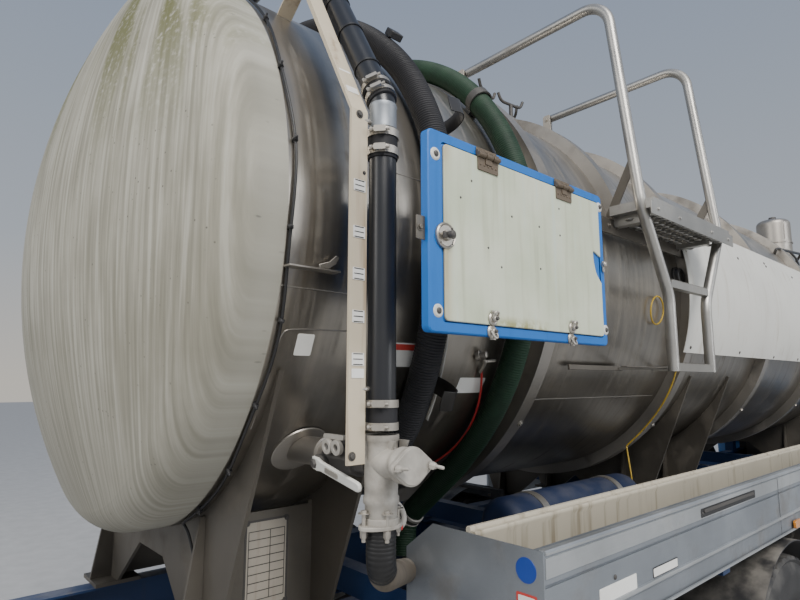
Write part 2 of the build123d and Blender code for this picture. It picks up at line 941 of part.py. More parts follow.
hoses = (
    # name, hose radius, at, tilt, top angle, end angle, tail, clip angles
    (
        "black_hose",
        black_hose_radius,
        black_hose_at,
        black_hose_tilt,
        black_hose_top_angle,
        black_hose_end_angle,
        0,
        (-78, -62, 5, 46),
    ),
    (
        "green_hose",
        green_hose_radius,
        green_hose_at,
        0,
        green_hose_top_angle,
        green_hose_end_angle,
        green_hose_tail,
        (-78, -38, 16),
    ),
)
for name, radius, at, tilt, top_angle, end_angle, tail, clip_angles in hoses:
    ride = tank_radius + hose_ride_gap + radius
    with BuildPart() as hose:
        route, arc = hose_route(hose_plane(at, tilt), ride, top_angle, end_angle, tail)
        tube(route, radius)
    save(hose, name)

with BuildPart() as hose_clips:
    for name, radius, at, tilt, top_angle, end_angle, tail, clip_angles in hoses:
        ride = tank_radius + hose_ride_gap + radius
        plane = hose_plane(at, tilt)
        outer = radius + seat_gap + clip_skin
        for angle in clip_angles:
            place = plane.from_local_coords(
                Vector(ride * cos(radians(angle)), ride * sin(radians(angle)), 0)
            )
            outward = (place - plane.origin).normalized()
            with BuildSketch(Plane(place, x_dir=outward, z_dir=plane.z_dir.cross(outward))):
                Circle(outer)
                with Locations((-(radius + hose_ride_gap) / 2 - 6, 0)):
                    Rectangle(radius + hose_ride_gap + 12, radius)
                Circle(radius + seat_gap, mode=Mode.SUBTRACT)
            extrude(amount=clip_width / 2, both=True)
    # Socket on a leg from the rail, round the green hose's end
    plane = hose_plane(green_hose_at, 0)
    ride = tank_radius + hose_ride_gap + green_hose_radius
    route, arc = hose_route(plane, ride, green_hose_top_angle, green_hose_end_angle, green_hose_tail)
    hose_end = route.line @ 1
    hose_way = route.line % 1
    socket_outer = green_hose_radius + seat_gap + clip_skin
    with BuildSketch(Plane(hose_end - hose_way * 30, z_dir=hose_way)):
        Circle(socket_outer)
        Circle(green_hose_radius + seat_gap, mode=Mode.SUBTRACT)
    extrude(amount=clip_width)
    with BuildSketch(Plane(hose_end + hose_way * seat_gap, z_dir=hose_way)):
        Circle(socket_outer)
    extrude(amount=2 * clip_skin)
    bar(
        hose_end.X - 15,
        hose_end.X + 15,
        hose_end.Y - 15,
        hose_end.Y + 20,
        rail_top_z,
        hose_end.Z - socket_outer / 2,
    )
    clear_of_tank(along(0), along(2 * green_hose_at))
save(hose_clips, "hose_clips")

# Access ladder: two bent side rails, rungs, a step platform and its stays
with BuildPart() as ladder:
    for low_at, high_at in zip(ladder_low_at, ladder_high_at):
        with BuildLine() as rail_route:
            FilletPolyline(
                (along(low_at), ladder_y, tank_axis_z + ladder_low),
                (along(low_at), ladder_y, tank_axis_z + ladder_flare_start),
                (along(high_at), ladder_y, tank_axis_z + platform_height),
                (along(high_at), ladder_y + handrail_lean, tank_axis_z + handrail_height),
                (along(high_at), handrail_end_y, tank_axis_z + handrail_height),
                radius=handrail_bend,
            )
        tube(rail_route, ladder_tube)
        post_foot_z = tank_axis_z + sqrt(tank_radius**2 - handrail_end_y**2) - 10
        bar(
            along(high_at) - 6,
            along(high_at) + 6,
            handrail_end_y - 30,
            handrail_end_y + 30,
            post_foot_z,
            tank_axis_z + handrail_height + ladder_tube,
        )
        bar(
            along(low_at) - rung_size / 2,
            along(low_at) + rung_size / 2,
            ladder_y,
            -tank_radius * 0.85,
            tank_axis_z + rung_heights[0] - stay_height / 2,
            tank_axis_z + rung_heights[0] + stay_height / 2,
        )
    for height in rung_heights:
        bar(
            along(ladder_low_at[0]),
            along(ladder_low_at[1]),
            ladder_y - rung_size / 2,
            ladder_y + rung_size / 2,
            tank_axis_z + height - rung_size / 2,
            tank_axis_z + height + rung_size / 2,
        )
    bar(
        along(ladder_high_at[0]),
        along(ladder_high_at[1]),
        ladder_y - platform_out,
        ladder_y + platform_in,
        tank_axis_z + platform_height - platform_thickness / 2,
        tank_axis_z + platform_height + platform_thickness / 2,
    )
    for bracket_at in platform_bracket_at:
        bar(
            along(bracket_at) - 20,
            along(bracket_at) + 20,
            ladder_y,
            -tank_radius * 0.9,
            tank_axis_z + platform_height - platform_thickness / 2 - 40,
            tank_axis_z + platform_height - platform_thickness / 2,
        )
    clear_of_tank(along(ladder_low_at[0]) - 600, along(ladder_high_at[1]) + 200)
    second_ring_x = along(ring_first + ring_pitch) - ring_width / 2
    clear_of_tank(
        second_ring_x - seat_gap,
        second_ring_x + ring_width + seat_gap,
        radius=panel_outer + seat_gap,
    )
save(ladder, "ladder")

# Manhole neck beside the top of the ladder, with a lid hinged on its left side
manhole_x = along(manhole_at)
manhole_top_z = tank_axis_z + tank_radius + manhole_height
lid_hinge_y = manhole_radius + lid_hinge_reach
lid_hinge_z = manhole_top_z + lid_thickness / 2
with BuildPart() as manhole_neck:
    with BuildSketch(Plane.XY.offset(tank_axis_z + tank_radius / 2)):
        with Locations((manhole_x, 0)):
            Circle(manhole_radius)
            Circle(manhole_radius - manhole_wall, mode=Mode.SUBTRACT)
    extrude(amount=tank_radius / 2 + manhole_height)
    for end in (1, -1):
        with BuildSketch(Plane.YZ.offset(manhole_x + end * (lid_barrel / 2 + seat_gap))):
            Polygon(
                (manhole_radius - manhole_wall / 2, manhole_top_z - lid_thickness / 3),
                (manhole_radius - manhole_wall / 2, manhole_top_z - lid_bracket_height),
                (lid_hinge_y + lid_barrel_radius, lid_hinge_z - lid_bracket_height / 3),
                (lid_hinge_y + lid_barrel_radius, lid_hinge_z),
                (lid_hinge_y - lid_barrel_radius, lid_hinge_z),
                (lid_hinge_y - lid_barrel_radius, manhole_top_z - lid_thickness / 3),
                align=None,
            )
            with Locations((lid_hinge_y, lid_hinge_z)):
                Circle(lid_barrel_radius)
        extrude(amount=end * lid_lug)
    with BuildSketch(Plane.YZ.offset(manhole_x - lid_barrel / 2 - lid_lug)):
        with Locations((lid_hinge_y, lid_hinge_z)):
            Circle(lid_pin_radius)
    extrude(amount=lid_barrel + 2 * lid_lug)
    clear_of_tank(manhole_x - 2 * manhole_radius, manhole_x + 2 * manhole_radius)
save(manhole_neck, "manhole_neck")

with BuildPart() as man_lid:
    with BuildSketch(Plane.XY.offset(manhole_top_z + seat_gap)):
        with Locations((manhole_x, 0)):
            Circle(manhole_radius + lid_overhang)
    extrude(amount=lid_thickness)
    fillet(man_lid.faces().sort_by(Axis.Z)[-1].edges(), radius=lid_thickness / 3)
    for end in (1, -1):
        lug_x = manhole_x + end * (lid_barrel / 2 + seat_gap)
        bar(
            min(lug_x, lug_x + end * (lid_lug + moving_gap)),
            max(lug_x, lug_x + end * (lid_lug + moving_gap)),
            lid_hinge_y - lid_barrel_radius - moving_gap,
            manhole_radius + lid_overhang + moving_gap,
            manhole_top_z,
            manhole_top_z + 2 * lid_thickness,
            mode=Mode.SUBTRACT,
        )
    with BuildSketch(Plane.YZ.offset(manhole_x - lid_barrel / 2)):
        with Locations((lid_hinge_y, lid_hinge_z)):
            Circle(lid_barrel_radius)
        with Locations(((lid_hinge_y + manhole_radius) / 2, lid_hinge_z + seat_gap)):
            Rectangle(lid_hinge_reach, lid_thickness / 2)
        with Locations((lid_hinge_y, lid_hinge_z)):
            Circle(lid_pin_radius + running_gap, mode=Mode.SUBTRACT)
    extrude(amount=lid_barrel)
save(man_lid, "man_lid")

# Float pot upright on the tank's right shoulder
with BuildPart() as float_pot:
    with BuildSketch(Plane.XY.offset(tank_axis_z + tank_radius / 2)):
        with Locations((along(float_pot_at), float_pot_y)):
            Circle(float_pot_radius)
    extrude(amount=tank_radius / 2 + float_pot_height)
    fillet(float_pot.faces().sort_by(Axis.Z)[-1].edges(), radius=float_pot_radius / 3)
    clear_of_tank(
        along(float_pot_at) - 2 * float_pot_radius,
        along(float_pot_at) + 2 * float_pot_radius,
    )
save(float_pot, "float_pot")


# Wheels: tyre, rim and hub sections turned about the axle line
def tyre_section(centre_y):
    """Outline of a tyre's section as (y, radius) pairs."""
    half = tyre_width / 2
    rows = (
        # share of half width, radius
        (rim_width / tyre_width, rim_radius + seat_gap),
        (1.00, (tyre_radius + rim_radius) / 2),
        (0.93, tyre_radius - 35),
        (tread_share, tyre_radius),
    )
    right = [(centre_y + share * half, radius) for share, radius in rows]
    left = [(centre_y - share * half, radius) for share, radius in reversed(rows)]
    return right + left


def rim_section(centre_y, disc_y):
    """Outline of a rim's section with its disc standing at disc_y, as (y, radius) pairs."""
    half = rim_width / 2
    bed = rim_radius - rim_wall
    disc = disc_thickness / 2
    return [
        (centre_y - half, rim_radius),
        (centre_y + half, rim_radius),
        (centre_y + half, bed),
        (disc_y + disc, bed),
        (disc_y + disc, hub_bore_radius + running_gap),
        (disc_y - disc, hub_bore_radius + running_gap),
        (disc_y - disc, bed),
        (centre_y - half, bed),
    ]


def hub_section(inner_y, outer_y):
    return [
        (inner_y, hub_bore_radius + running_gap),
        (outer_y, hub_bore_radius + running_gap),
        (outer_y, hub_radius),
        (inner_y, hub_radius),
    ]


def turn(points, x):
    """Add the solid made by turning (y, radius) points about an axle at x."""
    with BuildSketch(Plane.YZ.offset(x)) as section:
        Polygon(*[(y, axle_z + radius) for y, radius in points], align=None)
    revolve(section.sketch, axis=Axis((x, 0, axle_z), (0, 1, 0)))


for side, side_name in sides:
    wheel_y = side * front_wheel_y
    disc_y = wheel_y + side * front_disc_offset
    with BuildPart() as front_tyre:
        turn(tyre_section(wheel_y), front_axle_x)
    save(front_tyre, f"front_tyre_{side_name}")
    with BuildPart() as front_rim:
        turn(rim_section(wheel_y, disc_y), front_axle_x)
        hub_inner_y = side * (knuckle_wall_y + moving_gap)
        turn(hub_section(hub_inner_y, disc_y + side * hub_nose_length), front_axle_x)
    save(front_rim, f"front_rim_{side_name}")

for axle_x, axle_name in zip(rear_axle_x, ("fore", "aft")):
    for side, side_name in sides:
        outer_y = side * twin_outer_y
        inner_y = side * (twin_outer_y - twin_spacing)
        middle_y = side * twin_middle_y
        disc = disc_thickness / 2
        with BuildPart() as rear_tyres:
            turn(tyre_section(outer_y), axle_x)
            turn(tyre_section(inner_y), axle_x)
        save(rear_tyres, f"rear_tyres_{axle_name}_{side_name}")
        with BuildPart() as rear_rims:
            turn(rim_section(outer_y, middle_y + side * disc), axle_x)
            turn(rim_section(inner_y, middle_y - side * disc), axle_x)
            turn(hub_section(middle_y - side * hub_length / 2, middle_y + side * hub_length), axle_x)
        save(rear_rims, f"rear_rims_{axle_name}_{side_name}")

# Front axle beam with kingpin eyes and spring pads
with BuildPart() as front_axle:
    with BuildSketch(Plane.XZ.offset(-kingpin_y)):
        with Locations((front_axle_x, axle_z)):
            Rectangle(beam_width, beam_height)
            for end in (1, -1):
                with Locations((end * beam_width / 2, 0)):
                    Rectangle(beam_width / 2, beam_height / 2, mode=Mode.SUBTRACT)
    extrude(amount=2 * kingpin_y)
    for side, side_name in sides:
        with Locations((front_axle_x, side * kingpin_y, axle_z)):
            Cylinder(eye_radius + moving_gap, 2 * eye_height, mode=Mode.SUBTRACT)
            Cylinder(eye_radius, eye_height)
        bar(
            front_axle_x - beam_width / 4,
            front_axle_x + beam_width / 4,
            side * (kingpin_y - eye_radius - 2 * moving_gap),
            side * (kingpin_y - eye_radius / 2),
            axle_z - eye_height / 2 + moving_gap,
            axle_z + eye_height / 2 - moving_gap,
        )
        bar(
            front_axle_x - beam_width,
            front_axle_x + beam_width,
            side * (spring_y - spring_width / 2),
            side * (spring_y + spring_width / 2),
            axle_z + beam_height / 2 - 10,
            spring_low_z - seat_gap,
        )
        with Locations((front_axle_x, side * kingpin_y, axle_z)):
            Cylinder(kingpin_radius + running_gap, 3 * eye_height, mode=Mode.SUBTRACT)
save(front_axle, "front_axle")

# Knuckles: two ears on the kingpin and a spindle for the wheel
for side, side_name in sides:
    ear_top = eye_height / 2 + ear_gap + ear_height
    with BuildPart() as knuckle:
        for level in (1, -1):
            ear_z = axle_z + level * (eye_height / 2 + ear_gap + ear_height / 2)
            with Locations((front_axle_x, side * kingpin_y, ear_z)):
                Cylinder(eye_radius, ear_height)
            bar(
                front_axle_x - eye_radius * 0.8,
                front_axle_x + eye_radius * 0.8,
                side * (kingpin_y + eye_radius / 3),
                side * (knuckle_wall_y - knuckle_wall / 2),
                ear_z - ear_height / 2,
                ear_z + ear_height / 2,
            )
        with Locations((front_axle_x, side * kingpin_y, axle_z)):
            Cylinder(kingpin_radius, 2 * ear_top)
        bar(
            front_axle_x - eye_radius * 0.8,
            front_axle_x + eye_radius * 0.8,
            side * (kingpin_y + eye_radius + moving_gap),
            side * knuckle_wall_y,
            axle_z - ear_top,
            axle_z + ear_top,
        )
        spindle_end = front_wheel_y + front_disc_offset + hub_nose_length
        with BuildSketch(Plane.XZ.offset(-side * knuckle_wall_y)):
            with Locations((front_axle_x, axle_z)):
                Circle(hub_bore_radius)
        extrude(amount=-side * (spindle_end - knuckle_wall_y))
    save(knuckle, f"knuckle_{side_name}")

# Rear axles: tube, stub ends, drive head and spring pads
with BuildPart() as rear_axles:
    tube_end = twin_middle_y - hub_length / 2 - 10
    for axle_x in rear_axle_x:
        for radius, reach in (
            (axle_tube_radius, tube_end),
            (hub_bore_radius, twin_middle_y + hub_length),
        ):
            with BuildSketch(Plane.XZ.offset(-reach)):
                with Locations((axle_x, axle_z)):
                    Circle(radius)
            extrude(amount=2 * reach)
        with Locations((axle_x, 0, axle_z)):
            Sphere(drive_head_radius)
        for side, side_name in sides:
            bar(
                axle_x - 60,
                axle_x + 60,
                side * (spring_y - spring_width / 2),
                side * (spring_y + spring_width / 2),
                axle_z + axle_tube_radius - 20,
                axle_z + axle_tube_radius + spring_pad_height,
            )
save(rear_axles, "rear_axles")


# Leaf springs, bowed down at the front axle and up at the bogie
def leaf_spring(centre_x, reach, end_z, middle_z, side):
    with BuildSketch(Plane.XZ.offset(-side * spring_y)) as leaves:
        with BuildLine():
            low = ThreePointArc((centre_x - reach, end_z), (centre_x, middle_z), (centre_x + reach, end_z))
            high = ThreePointArc(
                (centre_x - reach, end_z + spring_thickness),
                (centre_x, middle_z + spring_thickness),
                (centre_x + reach, end_z + spring_thickness),
            )
            Line(low @ 0, high @ 0)
            Line(low @ 1, high @ 1)
        make_face()
    extrude(leaves.sketch, amount=spring_width / 2, both=True)


with BuildPart() as leaf_springs:
    bogie_end_z = axle_z + axle_tube_radius + spring_pad_height + seat_gap
    for side, side_name in sides:
        leaf_spring(
            front_axle_x,
            front_spring_reach,
            spring_low_z + front_spring_rise,
            spring_low_z,
            side,
        )
        leaf_spring(
            bogie_x,
            bogie_spread / 2,
            bogie_end_z,
            bogie_end_z + bogie_spring_rise,
            side,
        )
save(leaf_springs, "leaf_springs")

# Engine as one plain block, on feet that rest in the rails
with BuildPart() as engine_block:
    with Locations((engine_x, 0, engine_z)):
        Box(*engine_size)
    foot_x = engine_size[0] * 0.35
    foot_top_z = rail_bottom_z + rail_wall + engine_foot
    for side, side_name in sides:
        for x in (engine_x - foot_x, engine_x + foot_x):
            bar(
                x - engine_foot,
                x + engine_foot,
                0,
                side * (rail_outer_y - rail_wall - moving_gap),
                rail_bottom_z + rail_wall,
                foot_top_z,
            )
save(engine_block, "engine_block")

# Fuel tank on the left rail
with BuildPart() as fuel_tank:
    with Locations((fuel_tank_x, fuel_tank_y, fuel_tank_z)):
        Box(*fuel_tank_size)
    fillet(fuel_tank.edges().filter_by(Axis.X), radius=90)
    inner_y = fuel_tank_y - fuel_tank_size[1] / 2
    for offset_x in (-fuel_tank_size[0] / 3, fuel_tank_size[0] / 3):
        x = fuel_tank_x + offset_x
        bar(x - 35, x + 35, rail_outer_y, inner_y + 5, rail_bottom_z + 20, rail_bottom_z + 180)
save(fuel_tank, "fuel_tank")

# Battery box on the right rail
with BuildPart() as battery_box:
    with Locations((battery_box_x, battery_box_y, battery_box_z)):
        Box(*battery_box_size)
    fillet(battery_box.edges().filter_by(Axis.X), radius=20)
    inner_y = battery_box_y + battery_box_size[1] / 2
    low_x = battery_box_x - battery_box_size[0] / 3
    high_x = battery_box_x + battery_box_size[0] / 3
    bar(low_x, high_x, -rail_outer_y, inner_y - 5, rail_bottom_z + 20, rail_bottom_z + 140)
save(battery_box, "battery_box")

# Vacuum pump: a ribbed drum on a bracket from the right rail
with BuildPart() as vacuum_pump:
    with BuildSketch(Plane.YZ.offset(pump_x - pump_drum_length / 2)):
        with Locations((pump_y, pump_z)):
            Circle(pump_drum_radius)
    extrude(amount=pump_drum_length)
    for share in (-0.3, -0.1, 0.1, 0.3):
        with BuildSketch(Plane.YZ.offset(pump_x + share * pump_drum_length - 8)):
            with Locations((pump_y, pump_z)):
                Circle(pump_drum_radius + 14)
        extrude(amount=16)
    bar(
        pump_x - pump_drum_length / 3,
        pump_x + pump_drum_length / 3,
        -rail_outer_y,
        pump_y,
        rail_bottom_z + 20,
        pump_z + pump_drum_radius * 0.8,
    )
save(vacuum_pump, "vacuum_pump")

# Air receiver lying on a tray arm beside the rail
with BuildPart() as air_receiver:
    with BuildSketch(Plane.YZ.offset(along(receiver_at))):
        with Locations((receiver_y, tray_bottom_z + receiver_radius + seat_gap)):
            Circle(receiver_radius)
    extrude(amount=receiver_length)
    fillet(air_receiver.edges().filter_by(GeomType.CIRCLE), radius=receiver_radius * 0.45)
save(air_receiver, "air_receiver")

# Rear underrun beam on drop legs
rear_beam_top = rear_beam_z + rear_beam_height / 2
with BuildPart() as rear_bumper:
    bar(
        rear_beam_x - rear_beam_depth / 2,
        rear_beam_x + rear_beam_depth / 2,
        -rear_beam_width / 2,
        rear_beam_width / 2,
        rear_beam_z - rear_beam_height / 2,
        rear_beam_top,
    )
    for side, side_name in sides:
        bar(
            rear_beam_x,
            rail_rear_x,
            side * rail_inner_y,
            side * rail_outer_y,
            rear_beam_z,
            rail_top_z - rail_height / 3,
        )
save(rear_bumper, "rear_bumper")

# Lamp clusters: on the rear beam, and let into the front bumper
with BuildPart() as lamps:
    for side, side_name in sides:
        lamp_inner = rear_beam_width / 2 - rear_lamp_width - 40
        bar(
            rear_beam_x - rear_beam_depth * 0.3,
            rear_beam_x + rear_beam_depth * 0.3,
            side * lamp_inner,
            side * (lamp_inner + rear_lamp_width),
            rear_beam_top,
            rear_beam_top + rear_lamp_height,
        )
        bar(
            bumper_front_x - bumper_skin,
            bumper_front_x,
            side * (headlamp_y - headlamp_width / 2 + seat_gap),
            side * (headlamp_y + headlamp_width / 2 - seat_gap),
            headlamp_z - headlamp_height / 2 + seat_gap,
            headlamp_z + headlamp_height / 2 - seat_gap,
        )
save(lamps, "lamps")

# Front bumper skin with openings for the headlamps
with BuildPart() as front_bumper:
    with BuildSketch(Plane.XY.offset(bumper_bottom_z)) as bumper_plan:
        with Locations((bumper_front_x - bumper_depth / 2, 0)):
            Rectangle(bumper_depth, 2 * bumper_half_width)
        fillet(bumper_plan.vertices().group_by(Axis.X)[-1], radius=bumper_corner)
        offset(amount=-bumper_skin, mode=Mode.SUBTRACT)
        with Locations((bumper_front_x - bumper_depth, 0)):
            Rectangle(2.5 * bumper_skin, 2 * (bumper_half_width - bumper_skin), mode=Mode.SUBTRACT)
    extrude(amount=bumper_top_z - bumper_bottom_z)
    for side, side_name in sides:
        bar(
            bumper_front_x - 2 * bumper_skin,
            bumper_front_x + bumper_skin,
            side * (headlamp_y - headlamp_width / 2),
            side * (headlamp_y + headlamp_width / 2),
            headlamp_z - headlamp_height / 2,
            headlamp_z + headlamp_height / 2,
            mode=Mode.SUBTRACT,
        )
save(front_bumper, "front_bumper")

# Mudguards on stays from the rails
with BuildPart() as mudguards:
    for side, side_name in sides:
        for wheel_x, outer_y, width, gap in (
            (front_axle_x, front_wheel_y + front_guard_width / 2, front_guard_width, front_guard_gap),
            (rear_axle_x[0], tray_outer_y, rear_guard_width, guard_gap),
            (rear_axle_x[1], tray_outer_y, rear_guard_width, guard_gap),
        ):
            inside = tyre_radius + gap
            with BuildSketch(Plane.XZ.offset(-side * outer_y)):
                with BuildLine():
                    arc_span = 180 - 2 * guard_start_angle
                    low = CenterArc((wheel_x, axle_z), inside, guard_start_angle, arc_span)
                    high = CenterArc((wheel_x, axle_z), inside + guard_skin, guard_start_angle, arc_span)
                    Line(low @ 0, high @ 0)
                    Line(low @ 1, high @ 1)
                make_face()
            extrude(amount=side * width)
            crown_z = axle_z + inside + guard_skin / 2
            with BuildSketch(Plane.YZ.offset(wheel_x - guard_stay_back)):
                Polygon(
                    (side * rail_inner_y, rail_top_z),
                    (side * rail_outer_y, rail_top_z),
                    (side * rail_outer_y, crown_z),
                    (side * (outer_y - 60), crown_z),
                    (side * (outer_y - 60), crown_z + 20),
                    (side * rail_inner_y, crown_z + 20),
                    align=None,
                )
            extrude(amount=40)
save(mudguards, "mudguards")

# Side guards hung below the trays between the axles
with BuildPart() as side_guards:
    for side, side_name in sides:
        rail_y = side * (tray_outer_y - guard_rail_skin)
        for z in guard_rail_z:
            half = guard_rail_height / 2
            bar(guard_rail_from, guard_rail_to, rail_y, side * tray_outer_y, z - half, z + half)
        for x in (guard_rail_from + 150, guard_rail_to - 150):
            bar(
                x - 30,
                x + 30,
                rail_y,
                rail_y - side * 20,
                guard_rail_z[0] - guard_rail_height / 2,
                tray_bottom_z,
            )
save(side_guards, "side_guards")

# Steps below the cab doors, on an arm from each rail
with BuildPart() as cab_steps:
    step_inner_y = step_outer_y - step_depth
    for side, side_name in sides:
        low_x = step_x - step_length / 2
        high_x = step_x + step_length / 2
        for z in step_z:
            bar(low_x, high_x, side * step_inner_y, side * step_outer_y, z - 15, z + 15)
        bar(
            low_x,
            high_x,
            side * (step_inner_y - 20),
            side * step_inner_y,
            step_z[0] - 15,
            rail_bottom_z + 60,
        )
        bar(
            step_x - 30,
            step_x + 30,
            side * rail_outer_y,
            side * step_inner_y,
            rail_bottom_z,
            rail_bottom_z + 60,
        )
save(cab_steps, "cab_steps")

# Cab outline from the side, and the lines of its sloping screen
screen_top_z = cab_roof_z - screen_top_drop
cab_outline = (
    (cab_back_x, cab_floor_z),
    (cab_back_x, cab_roof_z - roof_back_drop),
    (cab_back_x + back_corner, cab_roof_z - roof_back_drop / 5),
    (cab_front_x - 650, cab_roof_z),
    (cab_front_x - screen_lean, screen_top_z),
    (cab_front_x, screen_base_z),
    (cab_front_x, cab_footwell_z),
    (wheel_arch_x + 60, cab_footwell_z),
    (wheel_arch_x, cab_floor_z),
)
door_outline = (
    (door_rear_x, door_sill_z),
    (door_rear_x, door_top_z),
    (door_top_front_x, door_top_z),
    (door_front_x, door_belt_z - 20),
    (door_front_x, door_bottom_z),
    (wheel_arch_x + 100, door_bottom_z),
    (wheel_arch_x + 45, door_sill_z),
)
window_outline = (
    (door_rear_x + door_frame, door_belt_z),
    (door_rear_x + door_frame, door_top_z - door_frame),
    (door_top_front_x - door_frame * 0.7, door_top_z - door_frame),
    (door_front_x - door_frame * 1.3, door_belt_z),
)
screen_rise = screen_top_z - screen_base_z
screen_run = sqrt(screen_rise**2 + screen_lean**2)
hinge_x = door_front_x + moving_gap + hinge_radius


def on_screen(z, depth):
    """Point at height z on the screen's slope, pushed square to it into the cab by depth."""
    share = (z - screen_base_z) / screen_rise
    x = cab_front_x - share * screen_lean
    return x - depth * screen_rise / screen_run, z - depth * screen_lean / screen_run


def screen_strip(low_z, high_z, outer_depth, inner_depth):
    return (
        on_screen(low_z, outer_depth),
        on_screen(high_z, outer_depth),
        on_screen(high_z, inner_depth),
        on_screen(low_z, inner_depth),
    )


# Cab shell: roof, back, sides, floor and screen frame
with BuildPart() as cab_shell:
    with BuildSketch(Plane.XZ):
        Polygon(*cab_outline, align=None)
    extrude(amount=cab_half_width, both=True)
    side_edges = cab_shell.faces().filter_by(Axis.Y).edges()
    fillet(side_edges.filter_by_position(Axis.Z, cab_floor_z + 1, cab_roof_z + 1), radius=cab_corner)
    with BuildSketch(Plane.XZ):
        Polygon(*cab_outline, align=None)
        offset(amount=-cab_wall, mode=Mode.REPLACE)
    extrude(amount=cab_half_width - cab_wall, both=True, mode=Mode.SUBTRACT)
    with BuildSketch(Plane.XZ):
        Polygon(*door_outline, align=None)
        offset(amount=moving_gap, mode=Mode.REPLACE)
    extrude(amount=2 * cab_half_width, both=True, mode=Mode.SUBTRACT)
    screen_low = screen_base_z + screen_margin
    screen_high = screen_top_z - screen_margin
    with BuildSketch(Plane.XZ):
        Polygon(*screen_strip(screen_low, screen_high, -2 * cab_wall, 3 * cab_wall), align=None)
    extrude(amount=cab_half_width - screen_side, both=True, mode=Mode.SUBTRACT)
    bar(
        cab_back_x - cab_wall,
        cab_back_x + 2 * cab_wall,
        -cab_half_width * 0.6,
        cab_half_width * 0.6,
        door_belt_z + 100,
        door_top_z - 160,
        mode=Mode.SUBTRACT,
    )
    # Engine tunnel between the two footwells
    bar(
        wheel_arch_x + 10,
        cab_front_x - cab_wall + 20,
        -cab_tunnel_half_width - cab_wall,
        cab_tunnel_half_width + cab_wall,
        cab_footwell_z,
        cab_floor_z + cab_wall,
    )
    bar(
        wheel_arch_x - 40,
        cab_front_x - cab_wall,
        -cab_tunnel_half_width,
        cab_tunnel_half_width,
        cab_footwell_z - cab_wall,
        cab_floor_z,
        mode=Mode.SUBTRACT,
    )
    for side, side_name in sides:
        # Pivot lug below the footwell
        near_y = cab_lug_y - cab_lug_thickness / 2
        with BuildSketch(Plane.XZ.offset(-side * near_y)):
            with Locations((cab_pivot_x, cab_pivot_z)):
                Circle(cab_lug_radius)
            Polygon(
                (cab_pivot_x - cab_lug_radius, cab_pivot_z),
                (cab_pivot_x + cab_lug_radius, cab_pivot_z),
                (cab_pivot_x + 1.8 * cab_lug_radius, cab_footwell_z + cab_wall / 2),
                (cab_pivot_x - 1.8 * cab_lug_radius, cab_footwell_z + cab_wall / 2),
                align=None,
            )
            with Locations((cab_pivot_x, cab_pivot_z)):
                Circle(cab_pivot_radius + running_gap, mode=Mode.SUBTRACT)
        extrude(amount=-side * cab_lug_thickness)
        # Door hinges: a pin between two lugs, on plates along the front pillar
        axis_y = side * (cab_half_width + hinge_stand_off)
        for z in hinge_at_z:
            for end in (1, -1):
                lug_start = z + end * (hinge_barrel / 2 + seat_gap)
                with BuildSketch(Plane.XY.offset(lug_start)):
                    with Locations((hinge_x, axis_y)):
                        Circle(hinge_radius)
                    with Locations((hinge_x + 30, side * (cab_half_width + hinge_stand_off / 2))):
                        Rectangle(60, hinge_stand_off)
                extrude(amount=end * hinge_lug)
            with BuildSketch(Plane.XY.offset(z - hinge_barrel / 2 - hinge_lug)):
                with Locations((hinge_x, axis_y)):
                    Circle(hinge_pin_radius)
            extrude(amount=hinge_barrel + 2 * hinge_lug)
save(cab_shell, "cab_shell")

# Doors with their window openings, and the glass that fills them
for side, side_name in sides:
    axis_y = side * (cab_half_width + hinge_stand_off)
    with BuildPart() as door:
        with BuildSketch(Plane.XZ.offset(-side * cab_half_width)):
            Polygon(*door_outline, align=None)
            Polygon(*window_outline, align=None, mode=Mode.SUBTRACT)
        extrude(amount=side * cab_wall)
        for z in hinge_at_z:
            with BuildSketch(Plane.XY.offset(z - hinge_barrel / 2)):
                with Locations((hinge_x, axis_y)):
                    Circle(hinge_radius)
                Polygon(
                    (hinge_x, axis_y - side * hinge_plate),
                    (hinge_x, axis_y + side * hinge_plate),
                    (door_front_x - 60, axis_y),
                    (door_front_x - 60, side * cab_half_width),
                    (door_front_x - 1, side * cab_half_width),
                    align=None,
                )
                with Locations((hinge_x, axis_y)):
                    Circle(hinge_pin_radius + running_gap, mode=Mode.SUBTRACT)
            extrude(amount=hinge_barrel)
    save(door, f"door_{side_name}")
    with BuildPart() as door_glass:
        with BuildSketch(Plane.XZ.offset(-side * (cab_half_width - glass_inset))):
            Polygon(*window_outline, align=None)
            offset(amount=-seat_gap, mode=Mode.REPLACE)
        extrude(amount=side * glass_thickness)
    save(door_glass, f"door_glass_{side_name}")

# Front panel below the screen, with four intake slots
with BuildPart() as cab_front:
    bar(
        cab_front_x,
        cab_front_x + cab_panel_thickness,
        -cab_half_width,
        cab_half_width,
        cab_panel_bottom_z,
        screen_base_z,
    )
    fillet(cab_front.edges().filter_by(Axis.Z).group_by(Axis.X)[-1], radius=40)
    fillet(cab_front.faces().sort_by(Axis.Z)[-1].edges().sort_by(Axis.X)[-1], radius=30)
    for row in range(grille_slots):
        slot_z = cab_panel_bottom_z + grille_rise + row * grille_pitch
        bar(
            cab_front_x + cab_panel_thickness - grille_depth,
            cab_front_x + cab_panel_thickness + grille_depth,
            -grille_half_width,
            grille_half_width,
            slot_z,
            slot_z + grille_slot_height,
            mode=Mode.SUBTRACT,
        )
save(cab_front, "cab_front")

